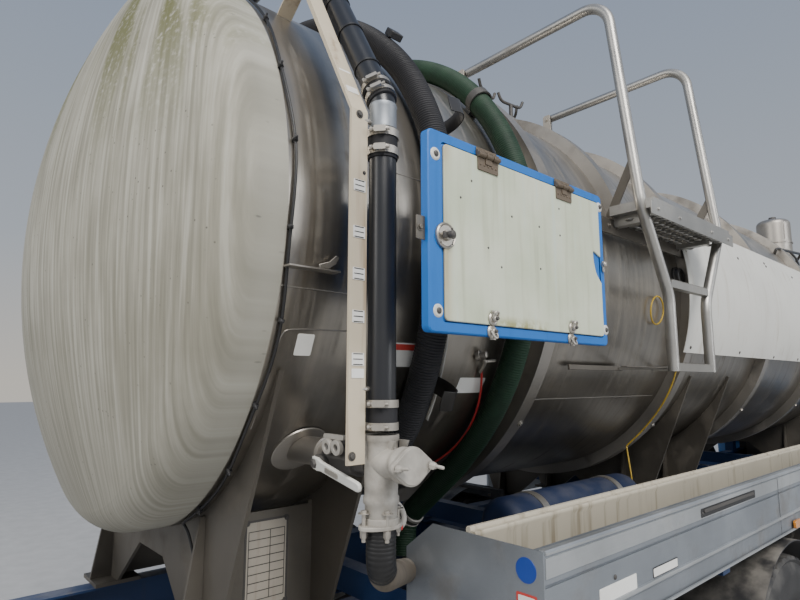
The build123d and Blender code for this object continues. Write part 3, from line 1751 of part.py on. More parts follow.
# Windscreen and rear window
with BuildPart() as cab_glass:
    bar(
        cab_back_x + glass_inset,
        cab_back_x + glass_inset + glass_thickness,
        -cab_half_width * 0.6 + seat_gap,
        cab_half_width * 0.6 - seat_gap,
        door_belt_z + 100 + seat_gap,
        door_top_z - 160 - seat_gap,
    )
    with BuildSketch(Plane.XZ):
        Polygon(
            *screen_strip(
                screen_low + seat_gap,
                screen_high - seat_gap,
                glass_inset,
                glass_inset + glass_thickness,
            ),
            align=None,
        )
    extrude(amount=cab_half_width - screen_side - seat_gap, both=True)
save(cab_glass, "cab_glass")

# Seats on pedestals
seat_floor_z = cab_floor_z + cab_wall
cushion_low_z = seat_floor_z + seat_height - seat_cushion
seat_back_x = cab_back_x + seat_from_back
with BuildPart() as seats:
    for side, side_name in sides:
        y = side * seat_y
        bar(
            seat_back_x + seat_depth * 0.2,
            seat_back_x + seat_depth * 0.75,
            y - seat_width * 0.3,
            y + seat_width * 0.3,
            seat_floor_z,
            cushion_low_z + seat_cushion / 3,
        )
        bar(
            seat_back_x,
            seat_back_x + seat_depth,
            y - seat_width / 2,
            y + seat_width / 2,
            cushion_low_z,
            seat_floor_z + seat_height,
        )
        with BuildSketch(Plane.XZ.offset(-y)):
            Polygon(
                (seat_back_x, cushion_low_z),
                (seat_back_x + seat_cushion, cushion_low_z),
                (seat_back_x + seat_cushion - seat_lean, seat_floor_z + seat_back_height),
                (seat_back_x - seat_lean, seat_floor_z + seat_back_height),
                align=None,
            )
        extrude(amount=seat_width / 2, both=True)
save(seats, "seats")

# Dashboard across the cab, with the steering column and wheel
dash_front_x = cab_front_x - cab_wall - seat_gap
dash_rear_x = dash_front_x - dash_depth
dash_top_z = screen_base_z + dash_rise
column_foot = (dash_rear_x, seat_y, dash_top_z - dash_height * 0.8)
column_way = (-sin(radians(column_tilt)), 0, cos(radians(column_tilt)))
wheel_plane = Plane(column_foot, x_dir=(0, 1, 0), z_dir=column_way)
with BuildPart() as dashboard:
    with BuildSketch(Plane.XZ):
        Polygon(
            (dash_rear_x + dash_slope, dash_top_z - dash_height),
            (dash_rear_x, dash_top_z - dash_height / 4),
            (dash_rear_x + dash_slope, dash_top_z),
            (dash_front_x, screen_base_z - dash_slope / 2),
            (dash_front_x, dash_top_z - dash_height),
            align=None,
        )
    extrude(amount=cab_half_width - cab_wall - seat_gap, both=True)
    with BuildSketch(wheel_plane.offset(-column_length / 4)):
        Circle(steering_column_radius)
    extrude(amount=column_length * 1.25)
    with BuildSketch(wheel_plane.offset(column_length)):
        Circle(steering_wheel_radius)
        Circle(steering_wheel_radius - steering_wheel_grip, mode=Mode.SUBTRACT)
        Circle(steering_wheel_radius / 4)
        Rectangle(2 * steering_wheel_radius - steering_wheel_grip, steering_wheel_grip)
    extrude(amount=steering_wheel_grip)
save(dashboard, "dashboard")

# Mirrors on arms from the front pillars
mirror_z = (door_belt_z + door_top_z) / 2
mirror_rear_x = cab_front_x - mirror_depth * 0.2
mirror_y = cab_half_width + mirror_reach
with BuildPart() as mirrors:
    for side, side_name in sides:
        arm_root_y = side * (cab_half_width + seat_gap)
        arm_tip_y = side * (mirror_y - mirror_width * 0.3)
        bar(
            mirror_rear_x,
            mirror_rear_x + mirror_depth,
            side * (mirror_y - mirror_width / 2),
            side * (mirror_y + mirror_width / 2),
            mirror_z - mirror_height / 2,
            mirror_z + mirror_height / 2,
        )
        for share in (-0.3, 0.3):
            arm_z = mirror_z + share * mirror_height
            root_x = on_screen(arm_z, 0)[0] - cab_corner - mirror_arm
            with BuildSketch(Plane.XY.offset(arm_z - mirror_arm / 2)):
                Polygon(
                    (root_x - mirror_arm, arm_root_y),
                    (root_x + mirror_arm, arm_root_y),
                    (mirror_rear_x + mirror_depth / 4, arm_tip_y - side * mirror_arm),
                    (mirror_rear_x + mirror_depth / 4, arm_tip_y),
                    (mirror_rear_x - mirror_arm, arm_tip_y),
                    align=None,
                )
            extrude(amount=mirror_arm)
    fillet(mirrors.edges().filter_by(Axis.Z).group_by(Axis.X)[-1], radius=mirror_depth / 3)
save(mirrors, "mirrors")
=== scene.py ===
"""Looks of a three-axle vacuum tanker truck: finishes, fittings, light and camera, in metres."""

import math

import bmesh
import bpy
import numpy as np
from mathutils import Matrix


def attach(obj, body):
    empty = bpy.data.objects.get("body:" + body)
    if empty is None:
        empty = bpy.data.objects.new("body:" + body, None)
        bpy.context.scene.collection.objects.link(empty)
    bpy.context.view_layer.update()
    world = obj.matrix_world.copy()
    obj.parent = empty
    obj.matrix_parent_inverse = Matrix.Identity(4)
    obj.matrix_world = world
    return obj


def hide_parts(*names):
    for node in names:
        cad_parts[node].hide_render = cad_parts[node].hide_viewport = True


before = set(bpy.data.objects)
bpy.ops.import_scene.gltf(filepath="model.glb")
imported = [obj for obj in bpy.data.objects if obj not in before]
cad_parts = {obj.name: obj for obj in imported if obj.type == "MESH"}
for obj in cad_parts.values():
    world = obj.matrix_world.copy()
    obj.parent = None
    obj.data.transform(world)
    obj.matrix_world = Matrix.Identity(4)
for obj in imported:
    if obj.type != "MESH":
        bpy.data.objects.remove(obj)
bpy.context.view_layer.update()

# The tank's rear rim plane and axis, from which the fittings are measured
RIM_X = -3.95
AXIS_Z = 2.25
TANK_RADIUS = 0.93
RING_OUTER = 0.9853
AXLE_Z = 0.505

# Ways that most fittings face or run: to the truck's right, to its left, forwards and up
OUT = np.array([0.0, -1.0, 0.0])
LEFT = np.array([0.0, 1.0, 0.0])
ALONG_X = np.array([1.0, 0.0, 0.0])
UP = np.array([0.0, 0.0, 1.0])


def at(x, y, z):
    """Point measured from the middle of the tank's rear rim."""
    return np.stack(
        np.broadcast_arrays(RIM_X + np.asarray(x, float), y, AXIS_Z + np.asarray(z, float)), axis=-1
    )


def on_tank(x, angle, lift=0.0):
    """Point on the barrel: angle in degrees up from its right side, lift square to the skin."""
    turn = math.radians(angle)
    reach = TANK_RADIUS + lift
    return at(x, -reach * math.cos(turn), reach * math.sin(turn))


def off_tank(angle):
    """Direction square to the barrel: angle in degrees up from its right side."""
    turn = math.radians(angle)
    return np.array([0.0, -math.cos(turn), math.sin(turn)])


def circle(radius, angles):
    """Offsets (across, up) of points on a circle, with the angles in radians."""
    return [(radius * math.cos(angle), radius * math.sin(angle)) for angle in angles]


def unit(vector):
    """Vector, or rows of vectors, at length one."""
    vector = np.asarray(vector, float)
    return vector / np.linalg.norm(vector, axis=-1, keepdims=True)


def axes_along(direction):
    """A unit vector along the direction and two across it."""
    along = unit(direction)
    helper = UP if abs(along[2]) < 0.9 else ALONG_X
    across = unit(np.cross(helper, along))
    return along, across, np.cross(along, across)


# Shapes: each function gives (points, list of face arrays)


def grid(points, wrap_rows=False, wrap_columns=False):
    """Quads between neighbours of a grid of points, closed round where asked."""
    rows, columns = points.shape[:2]
    index = np.arange(rows * columns).reshape(rows, columns)
    if wrap_rows:
        index = np.vstack([index, index[:1]])
    if wrap_columns:
        index = np.hstack([index, index[:, :1]])
    quads = np.stack([index[:-1, :-1], index[1:, :-1], index[1:, 1:], index[:-1, 1:]], axis=-1)
    return points.reshape(-1, 3), [quads.reshape(-1, 4)]


def join(*shapes):
    """Several shapes as one list of points and faces."""
    faces = []
    start = 0
    for points, parts in shapes:
        faces += [part + start for part in parts]
        start += len(points)
    return np.concatenate([points for points, parts in shapes]), faces


def capped(shape, columns):
    """A grid that wraps round its columns, closed by a flat face at each end."""
    points, faces = shape
    first = np.arange(columns)[None]
    return points, faces + [first, first + len(points) - columns]


def carried(start, direction, profile, sides):
    """Points of a profile of (distance, radius) pairs carried round a line.

    Point = start + distance * along + radius * (cos t * across + sin t * up).
    """
    along, across, up = axes_along(direction)
    distance, radius = np.asarray(profile, float).T
    turn = np.linspace(0, 2 * np.pi, sides, endpoint=False)
    ring = np.outer(np.cos(turn), across) + np.outer(np.sin(turn), up)
    return start + distance[:, None, None] * along + radius[:, None, None] * ring


def turned(start, direction, profile, sides=32):
    """A profile of (distance, radius) pairs carried round a line, closed at both ends."""
    return capped(grid(carried(start, direction, profile, sides), wrap_columns=True), sides)


def disc(start, direction, radius, depth, sides):
    """A round bar or plate that starts at a point."""
    return turned(start, direction, [(0, radius), (depth, radius)], sides)


def hoop(start, direction, profile, sides=64):
    """A closed profile of (distance, radius) pairs carried round a line, as a band with a hole."""
    return grid(carried(start, direction, profile, sides), wrap_rows=True, wrap_columns=True)


def band(middle, direction, inner, outer, half, sides):
    """A flat hoop whose width is twice the half."""
    return hoop(middle, direction, [(-half, inner), (-half, outer), (half, outer), (half, inner)], sides)


def rounded(corners, reach, steps=9):
    """A line past its corner points, where each corner is a parabola of the two runs beside it.

    Point = (1 - t)^2 before + 2 t (1 - t) corner + t^2 after.
    """
    corners = np.asarray(corners, float)
    runs = np.diff(corners, axis=0)
    lengths = np.linalg.norm(runs, axis=1, keepdims=True)
    cut = np.minimum(reach, 0.49 * lengths)
    way = runs / lengths
    before = corners[1:-1] - way[:-1] * cut[:-1]
    after = corners[1:-1] + way[1:] * cut[1:]
    t = np.linspace(0, 1, steps)[None, :, None]
    bends = (1 - t) ** 2 * before[:, None] + 2 * t * (1 - t) * corners[1:-1, None] + t**2 * after[:, None]
    return np.concatenate([corners[:1], bends.reshape(-1, corners.shape[1]), corners[-1:]])


def bent(corners, reach, radius, sides, squash=1.0):
    """A tube along a line whose corners are rounded."""
    return tube(rounded(corners, reach), radius, sides, squash)


def even(path, spacing):
    """The same line with points an even distance apart."""
    path = np.asarray(path, float)
    length = np.concatenate([[0], np.cumsum(np.linalg.norm(np.diff(path, axis=0), axis=1))])
    count = max(2, int(round(length[-1] / spacing)) + 1)
    wanted = np.linspace(0, length[-1], count)
    return np.stack([np.interp(wanted, length, path[:, k]) for k in range(3)], axis=1)


def tube(path, radius, sides=16, squash=1.0):
    """A circle carried along a path, square to it.

    Point = path + radius * (cos t * across + squash * sin t * up).
    """
    path = np.asarray(path, float)
    way = unit(np.gradient(path, axis=0))
    flat = np.linalg.svd(way)[2][-1]
    across = unit(np.cross(way, flat))
    up = np.cross(way, across)
    turn = np.linspace(0, 2 * np.pi, sides, endpoint=False)
    radius = np.broadcast_to(radius, len(path))[:, None, None]
    ring = np.cos(turn)[None, :, None] * across[:, None] + squash * np.sin(turn)[None, :, None] * up[:, None]
    return capped(grid(path[:, None] + radius * ring, wrap_columns=True), sides)


def prism(outline, place, across, up, depth):
    """A flat outline of (across, up) pairs pushed square to itself by the depth."""
    outline = np.asarray(outline, float)
    across, up = np.asarray(across, float), np.asarray(up, float)
    near = place + outline[:, :1] * across + outline[:, 1:] * up
    far = near + depth * np.cross(across, up)
    points = np.stack([near, far])
    count = len(outline)
    return capped(grid(points, wrap_columns=True), count)


def block(low, high):
    """Square-edged block between two corners."""
    low, high = np.asarray(low, float), np.asarray(high, float)
    outline = [(0, 0), (1, 0), (1, 1), (0, 1)]
    points, faces = prism(outline, np.zeros(3), ALONG_X, LEFT, 1)
    return low + points * (high - low), faces


def rounded_outline(width, height, corner, steps=5):
    """Outline of a rectangle with rounded corners, about its middle."""
    turn = np.radians(np.linspace(0, 90, steps))
    quarter = np.stack([np.cos(turn), np.sin(turn)], axis=1) * corner
    parts = []
    for number, (side, level) in enumerate(((1, 1), (-1, 1), (-1, -1), (1, -1))):
        spin = math.radians(90 * number)
        turn_by = np.array([[math.cos(spin), math.sin(spin)], [-math.sin(spin), math.cos(spin)]])
        middle = np.array([side * (width / 2 - corner), level * (height / 2 - corner)])
        parts.append(middle + quarter @ turn_by)
    return np.concatenate(parts)


def slab(width, height, corner, place, depth, across=ALONG_X, up=UP):
    """A rounded rectangle about a place, pushed square to itself by the depth."""
    return prism(rounded_outline(width, height, corner), place, across, up, depth)


def bolt(place, direction, size=0.012):
    """Hexagon head on a washer, size across its corners."""
    head = turned(place, direction, [(0, size / 2), (size * 0.38, size / 2), (size * 0.45, size * 0.4)], 6)
    washer = disc(place, direction, size * 0.8, size * 0.1, 14)
    return join(head, washer)


def rivet(place, direction, radius=0.006):
    """Low domed head."""
    profile = [(0, radius), (radius * 0.35, radius * 0.75), (radius * 0.5, radius * 0.2)]
    return turned(place, direction, profile, 8)


def piece(name, body, material, *shapes, bevel=0.0, sharp=35, replaces=()):
    """One named mesh from shapes, closed at its seams, with its faces outwards, that moves with a body."""
    points, faces = join(*shapes)
    mesh = bpy.data.meshes.new(name)
    mesh.from_pydata(points.tolist(), [], [face for part in faces for face in part.tolist()])
    net = bmesh.new()
    net.from_mesh(mesh)
    bmesh.ops.remove_doubles(net, verts=net.verts, dist=1e-5)
    bmesh.ops.recalc_face_normals(net, faces=net.faces)
    net.to_mesh(mesh)
    net.free()
    mesh.shade_smooth()
    mesh.set_sharp_from_angle(angle=math.radians(sharp))
    mesh.materials.append(material)
    made = bpy.data.objects.new(name, mesh)
    bpy.context.scene.collection.objects.link(made)
    if bevel:
        edge = made.modifiers.new("edge", "BEVEL")
        edge.width = bevel
        edge.segments = 2
        edge.limit_method = "ANGLE"
    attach(made, body)
    if replaces:
        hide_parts(*replaces)
    return made


def fixed(name, material, *shapes, **options):
    """A piece that moves with the chassis."""
    return piece(name, "chassis", material, *shapes, **options)


# Finishes


class Value:
    """A shader socket that takes part in sums."""

    def __init__(self, finish, socket):
        self.finish = finish
        self.socket = socket

    def maths(self, operation, *values):
        return self.finish.node("ShaderNodeMath", {"operation": operation}, dict(enumerate(values)))

    def __add__(self, other):
        return self.maths("ADD", self, other)

    def __sub__(self, other):
        return self.maths("SUBTRACT", self, other)

    def __rsub__(self, other):
        return self.maths("SUBTRACT", other, self)

    def __mul__(self, other):
        return self.maths("MULTIPLY", self, other)

    def size(self):
        return self.maths("ABSOLUTE", self)

    __radd__ = __add__
    __rmul__ = __mul__


class Finish:
    """A procedural material: one shader, and the nodes that feed it, on the object's own coordinates."""

    def __init__(self, name, **constants):
        self.material = bpy.data.materials.new(name)
        self.material.use_nodes = True
        self.tree = self.material.node_tree
        self.tree.nodes.clear()
        self.shader = self.tree.nodes.new("ShaderNodeBsdfPrincipled")
        end = self.tree.nodes.new("ShaderNodeOutputMaterial")
        self.tree.links.new(self.shader.outputs[0], end.inputs[0])
        for key, value in constants.items():
            self.set(key.replace("_", " ").title().replace("Ior", "IOR"), value)
        self.place = self.node("ShaderNodeTexCoord", output=3)
        split = self.node("ShaderNodeSeparateXYZ", inputs={0: self.place}).socket.node
        self.x, self.y, self.z = (Value(self, socket) for socket in split.outputs)

    def node(self, kind, settings=None, inputs=None, output=0):
        """Any node, from its type, its settings and what its sockets get."""
        made = self.tree.nodes.new(kind)
        for key, value in (settings or {}).items():
            setattr(made, key, value)
        for key, value in (inputs or {}).items():
            if isinstance(value, Value):
                self.tree.links.new(value.socket, made.inputs[key])
            else:
                made.inputs[key].default_value = value
        return Value(self, made.outputs[output])

    def set(self, socket, value):
        """Give one of the shader's sockets a number, a colour or a value."""
        if isinstance(value, Value):
            self.tree.links.new(value.socket, self.shader.inputs[socket])
        elif isinstance(value, tuple):
            self.shader.inputs[socket].default_value = (*value, 1.0)
        else:
            self.shader.inputs[socket].default_value = value

    def noise(self, scale, detail=3.0, stretch=(1, 1, 1), shift=0.0, roughness=0.55, place=None):
        """Cloudy pattern from 0 to 1 about 0.5, stretched along the axes."""
        settings = {"Vector": place or self.place, "Scale": stretch, "Location": (shift,) * 3}
        mapped = self.node("ShaderNodeMapping", inputs=settings)
        inputs = {"Vector": mapped, "Scale": scale, "Detail": detail, "Roughness": roughness}
        return self.node("ShaderNodeTexNoise", inputs=inputs)

    def cells(self, scale, stretch=(1, 1, 1)):
        """Distance from the middle of scattered cells."""
        mapped = self.node("ShaderNodeMapping", inputs={"Vector": self.place, "Scale": stretch})
        return self.node("ShaderNodeTexVoronoi", inputs={"Vector": mapped, "Scale": scale})

    def step(self, value, low, high):
        """Smooth rise from 0 at low to 1 at high."""
        settings = {"interpolation_type": "SMOOTHSTEP"}
        return self.node("ShaderNodeMapRange", settings, {0: value, 1: low, 2: high})

    def near(self, value, middle, half, soft):
        """1 where a value lies within half of the middle, with a soft edge."""
        return self.step((value - middle).size(), half + soft, half - soft)

    def blend(self, mask, colour, other):
        """Colour where the mask is 0, the other where it is 1."""
        rest = [value if isinstance(value, Value) else (*value, 1.0) for value in (colour, other)]
        inputs = {0: mask, 6: rest[0], 7: rest[1]}
        return self.node("ShaderNodeMix", {"data_type": "RGBA"}, inputs, output=2)

    def relief(self, height, depth=0.001, strength=0.6):
        """Raise and lower the surface by a height pattern."""
        inputs = {"Height": height, "Distance": depth, "Strength": strength}
        self.set("Normal", self.node("ShaderNodeBump", inputs=inputs))

    def facing_up(self):
        """How far the surface faces up, from -1 to 1."""
        normal = self.node("ShaderNodeNewGeometry", output=1)
        return self.node("ShaderNodeSeparateXYZ", inputs={0: normal}, output=2)


def weathered_paint(name, colour, worn, rough=0.35, streak=0.35, dust=0.25):
    """Paint with cloudy fading, vertical run marks and dust on its upper faces."""
    paint = Finish(name, metallic=0.0)
    cloud = paint.noise(2.2, 5)
    runs = paint.noise(1.0, 4, stretch=(26, 26, 1.6), shift=3.0)
    marks = paint.step(runs, 0.52, 0.78) * streak
    shade = paint.blend(paint.step(cloud, 0.35, 0.75) * 0.5, colour, tuple(0.78 * c for c in colour))
    shade = paint.blend(marks, shade, worn)
    settled = paint.step(paint.facing_up(), 0.4, 0.95) * paint.step(paint.noise(9, 4), 0.3, 0.7)
    shade = paint.blend(settled * dust, shade, (0.42, 0.39, 0.34))
    paint.set("Base Color", shade)
    paint.set("Roughness", rough + 0.25 * cloud + 0.2 * marks)
    paint.relief(paint.noise(260, 2), 0.0004, 0.25)
    return paint.material


def cover_finish():
    """Cream plastic cover: run marks, brown at its left edge and growth along its lower edge."""
    cover = Finish("cabinet_cream")
    runs = cover.noise(1.0, 5, stretch=(30, 30, 2.0), shift=3.0)
    cloud = cover.noise(5.0, 5)
    shade = cover.blend(cover.step(cloud, 0.3, 0.7), (0.47, 0.52, 0.385), (0.57, 0.60, 0.475))
    shade = cover.blend(cover.step(runs, 0.48, 0.72) * 0.6, shade, (0.36, 0.38, 0.27))
    shade = cover.blend(cover.step(runs, 0.46, 0.3) * 0.5, shade, (0.50, 0.58, 0.52))
    left = cover.step(cover.x, RIM_X + 0.27, RIM_X + 0.235) * cover.step(cloud, 0.35, 0.6)
    shade = cover.blend(left * 0.5, shade, (0.33, 0.23, 0.10))
    low = cover.step(cover.z, AXIS_Z - 0.285, AXIS_Z - 0.312) * cover.near(cover.x, RIM_X + 0.52, 0.10, 0.05)
    shade = cover.blend(low * cover.step(cover.noise(50, 4), 0.3, 0.6) * 0.75, shade, (0.22, 0.20, 0.035))
    cover.set("Base Color", shade)
    cover.set("Roughness", 0.42 + 0.2 * cloud)
    cover.relief(cover.noise(230, 2), 0.0004, 0.25)
    return cover.material


def bare_metal(name, colour, rough=0.32, grime=0.5, brush=(1, 240, 240), metallic=0.9):
    """Bare metal with fine drawn lines, cloudy oxide and dark grime in patches."""
    metal = Finish(name)
    cloud = metal.noise(3.0, 5)
    lines = metal.noise(1.0, 2, stretch=brush)
    dirt = metal.step(metal.noise(5.5, 6, shift=7.0), 0.52, 0.74) * grime
    shade = metal.blend(metal.step(cloud, 0.3, 0.7), tuple(0.8 * c for c in colour), colour)
    shade = metal.blend((lines - 0.5).size() * 0.5, shade, tuple(0.62 * c for c in colour))
    metal.set("Base Color", metal.blend(dirt, shade, (0.09, 0.078, 0.062)))
    metal.set("Metallic", metallic - 0.75 * dirt)
    metal.set("Roughness", rough + 0.22 * cloud + 0.35 * dirt)
    metal.relief(lines, 0.0003, 0.25)
    return metal.material


def tank_finish():
    """Rolled stainless barrel with drip marks, grime and painted shade below; pale weathered dished ends with
    painted shade below and a painted rim highlight.
    """
    skin = Finish("tank_skin")
    dish = skin.step(skin.x * -1.0, -RIM_X - 0.004, -RIM_X)
    low = skin.step(skin.z, AXIS_Z + 0.25, AXIS_Z - TANK_RADIUS)
    cloud = skin.noise(1.3, 6)
    # low: painted shade mask, 1 at the barrel's underside
    fine = skin.noise(14, 5, shift=4.0)
    bands = skin.noise(1.0, 5, stretch=(16, 0.7, 0.7), shift=6.0)
    drips = skin.noise(1.0, 5, stretch=(30, 5, 0.9), shift=1.0)
    grime = skin.step(drips, 0.5, 0.78) * skin.step(fine, 0.25, 0.7)
    steel = skin.blend(skin.step(cloud, 0.3, 0.72), (0.30, 0.28, 0.25), (0.47, 0.44, 0.395))
    steel = skin.blend(skin.step(bands, 0.42, 0.7) * 0.5, steel, (0.60, 0.545, 0.46))
    steel = skin.blend(skin.step(fine, 0.5, 0.78) * 0.4, steel, (0.22, 0.195, 0.16))
    steel = skin.blend(grime * 0.7, steel, (0.10, 0.085, 0.06))
    # Painted shade: the barrel darkens towards its underside
    steel = skin.blend(low * 0.7, steel, (0.10, 0.09, 0.075))
    # Pale end: chalky white with fine grey runs, green growth from its top and dark specks
    # Water runs down the dish on lines that part below its top and meet again: y / sqrt(1.35 - z * z)
    rise = skin.z - AXIS_Z
    spread = skin.y * skin.x.maths("POWER", 1.35 - rise * rise, -0.5)
    flow = skin.node("ShaderNodeCombineXYZ", inputs={1: spread, 2: skin.z})
    runs = skin.noise(1.0, 6, stretch=(0, 80, 2.2), shift=9.0, place=flow)
    broad = skin.noise(1.0, 4, stretch=(0, 11, 0.7), shift=2.5, place=flow)
    blotch = skin.noise(2.6, 6, stretch=(0, 1, 0.8), shift=2.0, place=flow)
    pale = skin.blend(skin.step(blotch, 0.3, 0.72), (0.25, 0.238, 0.19), (0.385, 0.372, 0.315))
    pale = skin.blend(skin.step(broad, 0.45, 0.7) * 0.45, pale, (0.205, 0.195, 0.145))
    pale = skin.blend(skin.step(runs, 0.44, 0.66) * 0.6, pale, (0.15, 0.143, 0.105))
    pale = skin.blend(skin.step(runs, 0.5, 0.3) * 0.4, pale, (0.50, 0.49, 0.43))
    high = skin.step(skin.z, AXIS_Z + 0.05, AXIS_Z + 0.62)
    patch = skin.noise(1.0, 7, stretch=(0, 7, 0.9), shift=5.0, place=flow)
    growth = high * skin.step(patch, 0.44, 0.56) * skin.step(skin.noise(60, 3), 0.25, 0.52)
    pale = skin.blend(growth * 0.9, pale, (0.095, 0.098, 0.022))
    specks = skin.step(skin.cells(60, (0.2, 1, 0.7)), 0.16, 0.07) * skin.step(fine, 0.5, 0.6)
    pale = skin.blend(specks * 0.8, pale, (0.06, 0.055, 0.04))
    # Painted shade: the dish grows darker towards its bottom
    low_dish = skin.step(skin.z, AXIS_Z - 0.2, AXIS_Z - TANK_RADIUS)
    pale = skin.blend(low_dish * 0.45, pale, (0.25, 0.24, 0.20))
    # Painted highlight: the dish is lighter in a band along its rim
    edge = skin.step(skin.x, RIM_X - 0.13, RIM_X - 0.02)
    pale = skin.blend(edge * 0.3, pale, (0.46, 0.455, 0.41))
    skin.set("Base Color", skin.blend(dish, steel, pale))
    skin.set("Metallic", (1.0 - dish) * (0.94 - 0.5 * grime))
    skin.set("Roughness", 0.25 + 0.14 * cloud + 0.3 * grime * (1.0 - dish) + 0.35 * dish)
    lines = skin.noise(1.0, 2, stretch=(420, 6, 6))
    rolled = (1.0 - dish) * (lines * 0.6 + bands * 1.6)
    skin.relief(rolled + fine * 0.5 + specks, 0.0006, 0.35)
    return skin.material


def rubber_finish(name, colour, dust=0.35):
    """Ribbed hose rubber with grey dust on its upper side."""
    rubber = Finish(name, specular_ior_level=0.35)
    cloud = rubber.noise(8, 5)
    settled = rubber.step(rubber.facing_up(), -0.1, 0.9) * rubber.step(cloud, 0.3, 0.7)
    shade = rubber.blend(rubber.step(cloud, 0.35, 0.7), colour, tuple(1.7 * c for c in colour))
    rubber.set("Base Color", rubber.blend(settled * dust, shade, (0.20, 0.19, 0.17)))
    rubber.set("Roughness", 0.5 + 0.25 * cloud)
    rubber.relief(rubber.noise(190, 3), 0.0005, 0.3)
    return rubber.material


def plain(name, colour, rough=0.5, metallic=0.0, grain=220, depth=0.0003, **constants):
    """Moulded or coated surface with slight colour and gloss changes and a fine grain."""
    cover = Finish(name, metallic=metallic, **constants)
    cloud = cover.noise(6, 4)
    cover.set(
        "Base Color",
        cover.blend(cloud, tuple(0.82 * c for c in colour), tuple(min(1.0, 1.15 * c) for c in colour))
    )
    cover.set("Roughness", rough - 0.06 + 0.12 * cloud)
    cover.relief(cover.noise(grain, 2), depth, 0.3)
    return cover.material


tank_skin = tank_finish()
stainless = bare_metal("stainless_fittings", (0.40, 0.375, 0.34), 0.32, 0.5, (1, 120, 120))
dark_band = bare_metal("dark_band", (0.13, 0.125, 0.115), 0.45, 0.5, (40, 40, 40), 0.7)
dusty_steel = bare_metal("dusty_steel", (0.42, 0.385, 0.33), 0.42, 0.55, (30, 30, 30), 0.6)
saddle_steel = bare_metal("saddle_steel", (0.175, 0.16, 0.138), 0.42, 0.6, (90, 90, 2), 0.85)
ladder_steel = bare_metal("ladder_steel", (0.44, 0.43, 0.405), 0.30, 0.35, (9, 9, 9))
tray_alloy = bare_metal("tray_aluminium", (0.31, 0.335, 0.365), 0.42, 0.55, (2, 160, 160), 0.8)
# Painted highlight: a lighter copy of the tray aluminium for its edges, where light catches them
tray_edge_painted_highlight = bare_metal("tray_edge_painted_highlight", (0.52, 0.54, 0.55), 0.35, 0.35, (2, 120, 120), 0.85)
data_plate = weathered_paint("data_plate", (0.34, 0.31, 0.26), (0.16, 0.10, 0.06), 0.5, 0.7, 0.2)
cast_alloy = bare_metal("cast_aluminium", (0.50, 0.475, 0.43), 0.45, 0.7, (60, 60, 60), 0.5)
liner_cream = weathered_paint("liner_cream", (0.50, 0.455, 0.36), (0.20, 0.16, 0.10), 0.5, 0.9, 0.3)
cabinet_blue = weathered_paint("cabinet_blue", (0.002, 0.125, 0.46), (0.003, 0.07, 0.24), 0.45, 0.35, 0.12)
cabinet_cream = cover_finish()
board_cream = weathered_paint("board_cream", (0.55, 0.48, 0.36), (0.20, 0.115, 0.055), 0.5, 0.7)
panel_white = weathered_paint("panel_white", (0.62, 0.615, 0.575), (0.42, 0.385, 0.31), 0.42, 0.6)
chassis_blue = weathered_paint("chassis_blue", (0.010, 0.035, 0.11), (0.05, 0.045, 0.04), 0.4, 0.4, 0.28)
# Painted shade: the receiver's blue is darkened nearly to black for the shade under the tank
receiver_blue_painted_shade = weathered_paint("receiver_blue_painted_shade", (0.004, 0.015, 0.055), (0.03, 0.03, 0.03), 0.5, 0.3, 0.1)
cab_blue = weathered_paint("cab_blue", (0.025, 0.16, 0.42), (0.02, 0.09, 0.24), 0.22, 0.15, 0.12)
rim_silver = weathered_paint("rim_silver", (0.36, 0.365, 0.37), (0.20, 0.17, 0.13), 0.4, 0.5, 0.3)
beam_black = weathered_paint("beam_black", (0.02, 0.02, 0.022), (0.08, 0.07, 0.06), 0.42, 0.4, 0.5)
hose_black = rubber_finish("hose_black", (0.011, 0.011, 0.013), 0.12)
# Painted shade: the green is darkened nearly to black for the shade the hose lies in
hose_green_painted_shade = rubber_finish("hose_green_painted_shade", (0.006, 0.024, 0.011), 0.14)
tyre_rubber = rubber_finish("tyre_rubber", (0.02, 0.02, 0.021), 0.5)
pipe_black = plain("pipe_black", (0.016, 0.017, 0.02), 0.32, grain=90)
trim_black = plain("trim_black", (0.022, 0.022, 0.024), 0.55, grain=420, depth=0.0006)
oily_iron = bare_metal("oily_iron", (0.10, 0.095, 0.09), 0.5, 0.6, (90, 90, 90), 0.5)
lamp_red = plain("lamp_red", (0.45, 0.02, 0.015), 0.15, coat_weight=0.6)
glass_clear = plain("glass_clear", (0.06, 0.08, 0.085), 0.04, alpha=0.35, coat_weight=1.0)
seat_cloth = plain("seat_cloth", (0.06, 0.07, 0.09), 0.9, grain=900, depth=0.001)
label_white = plain("label_white", (0.74, 0.74, 0.71), 0.5)
label_red = plain("label_red", (0.52, 0.05, 0.04), 0.5)
label_blue = plain("label_blue", (0.01, 0.05, 0.30), 0.4)
# Black for print and dial faces, also used as painted shade in holes and recesses
black_ink_and_shade = plain("black_ink_and_shade", (0.015, 0.015, 0.016), 0.55)
zinc = bare_metal("zinc_fastener", (0.50, 0.47, 0.42), 0.35, 0.4)
lever_white = weathered_paint("lever_white", (0.64, 0.64, 0.60), (0.35, 0.30, 0.22), 0.4, 0.5, 0.2)
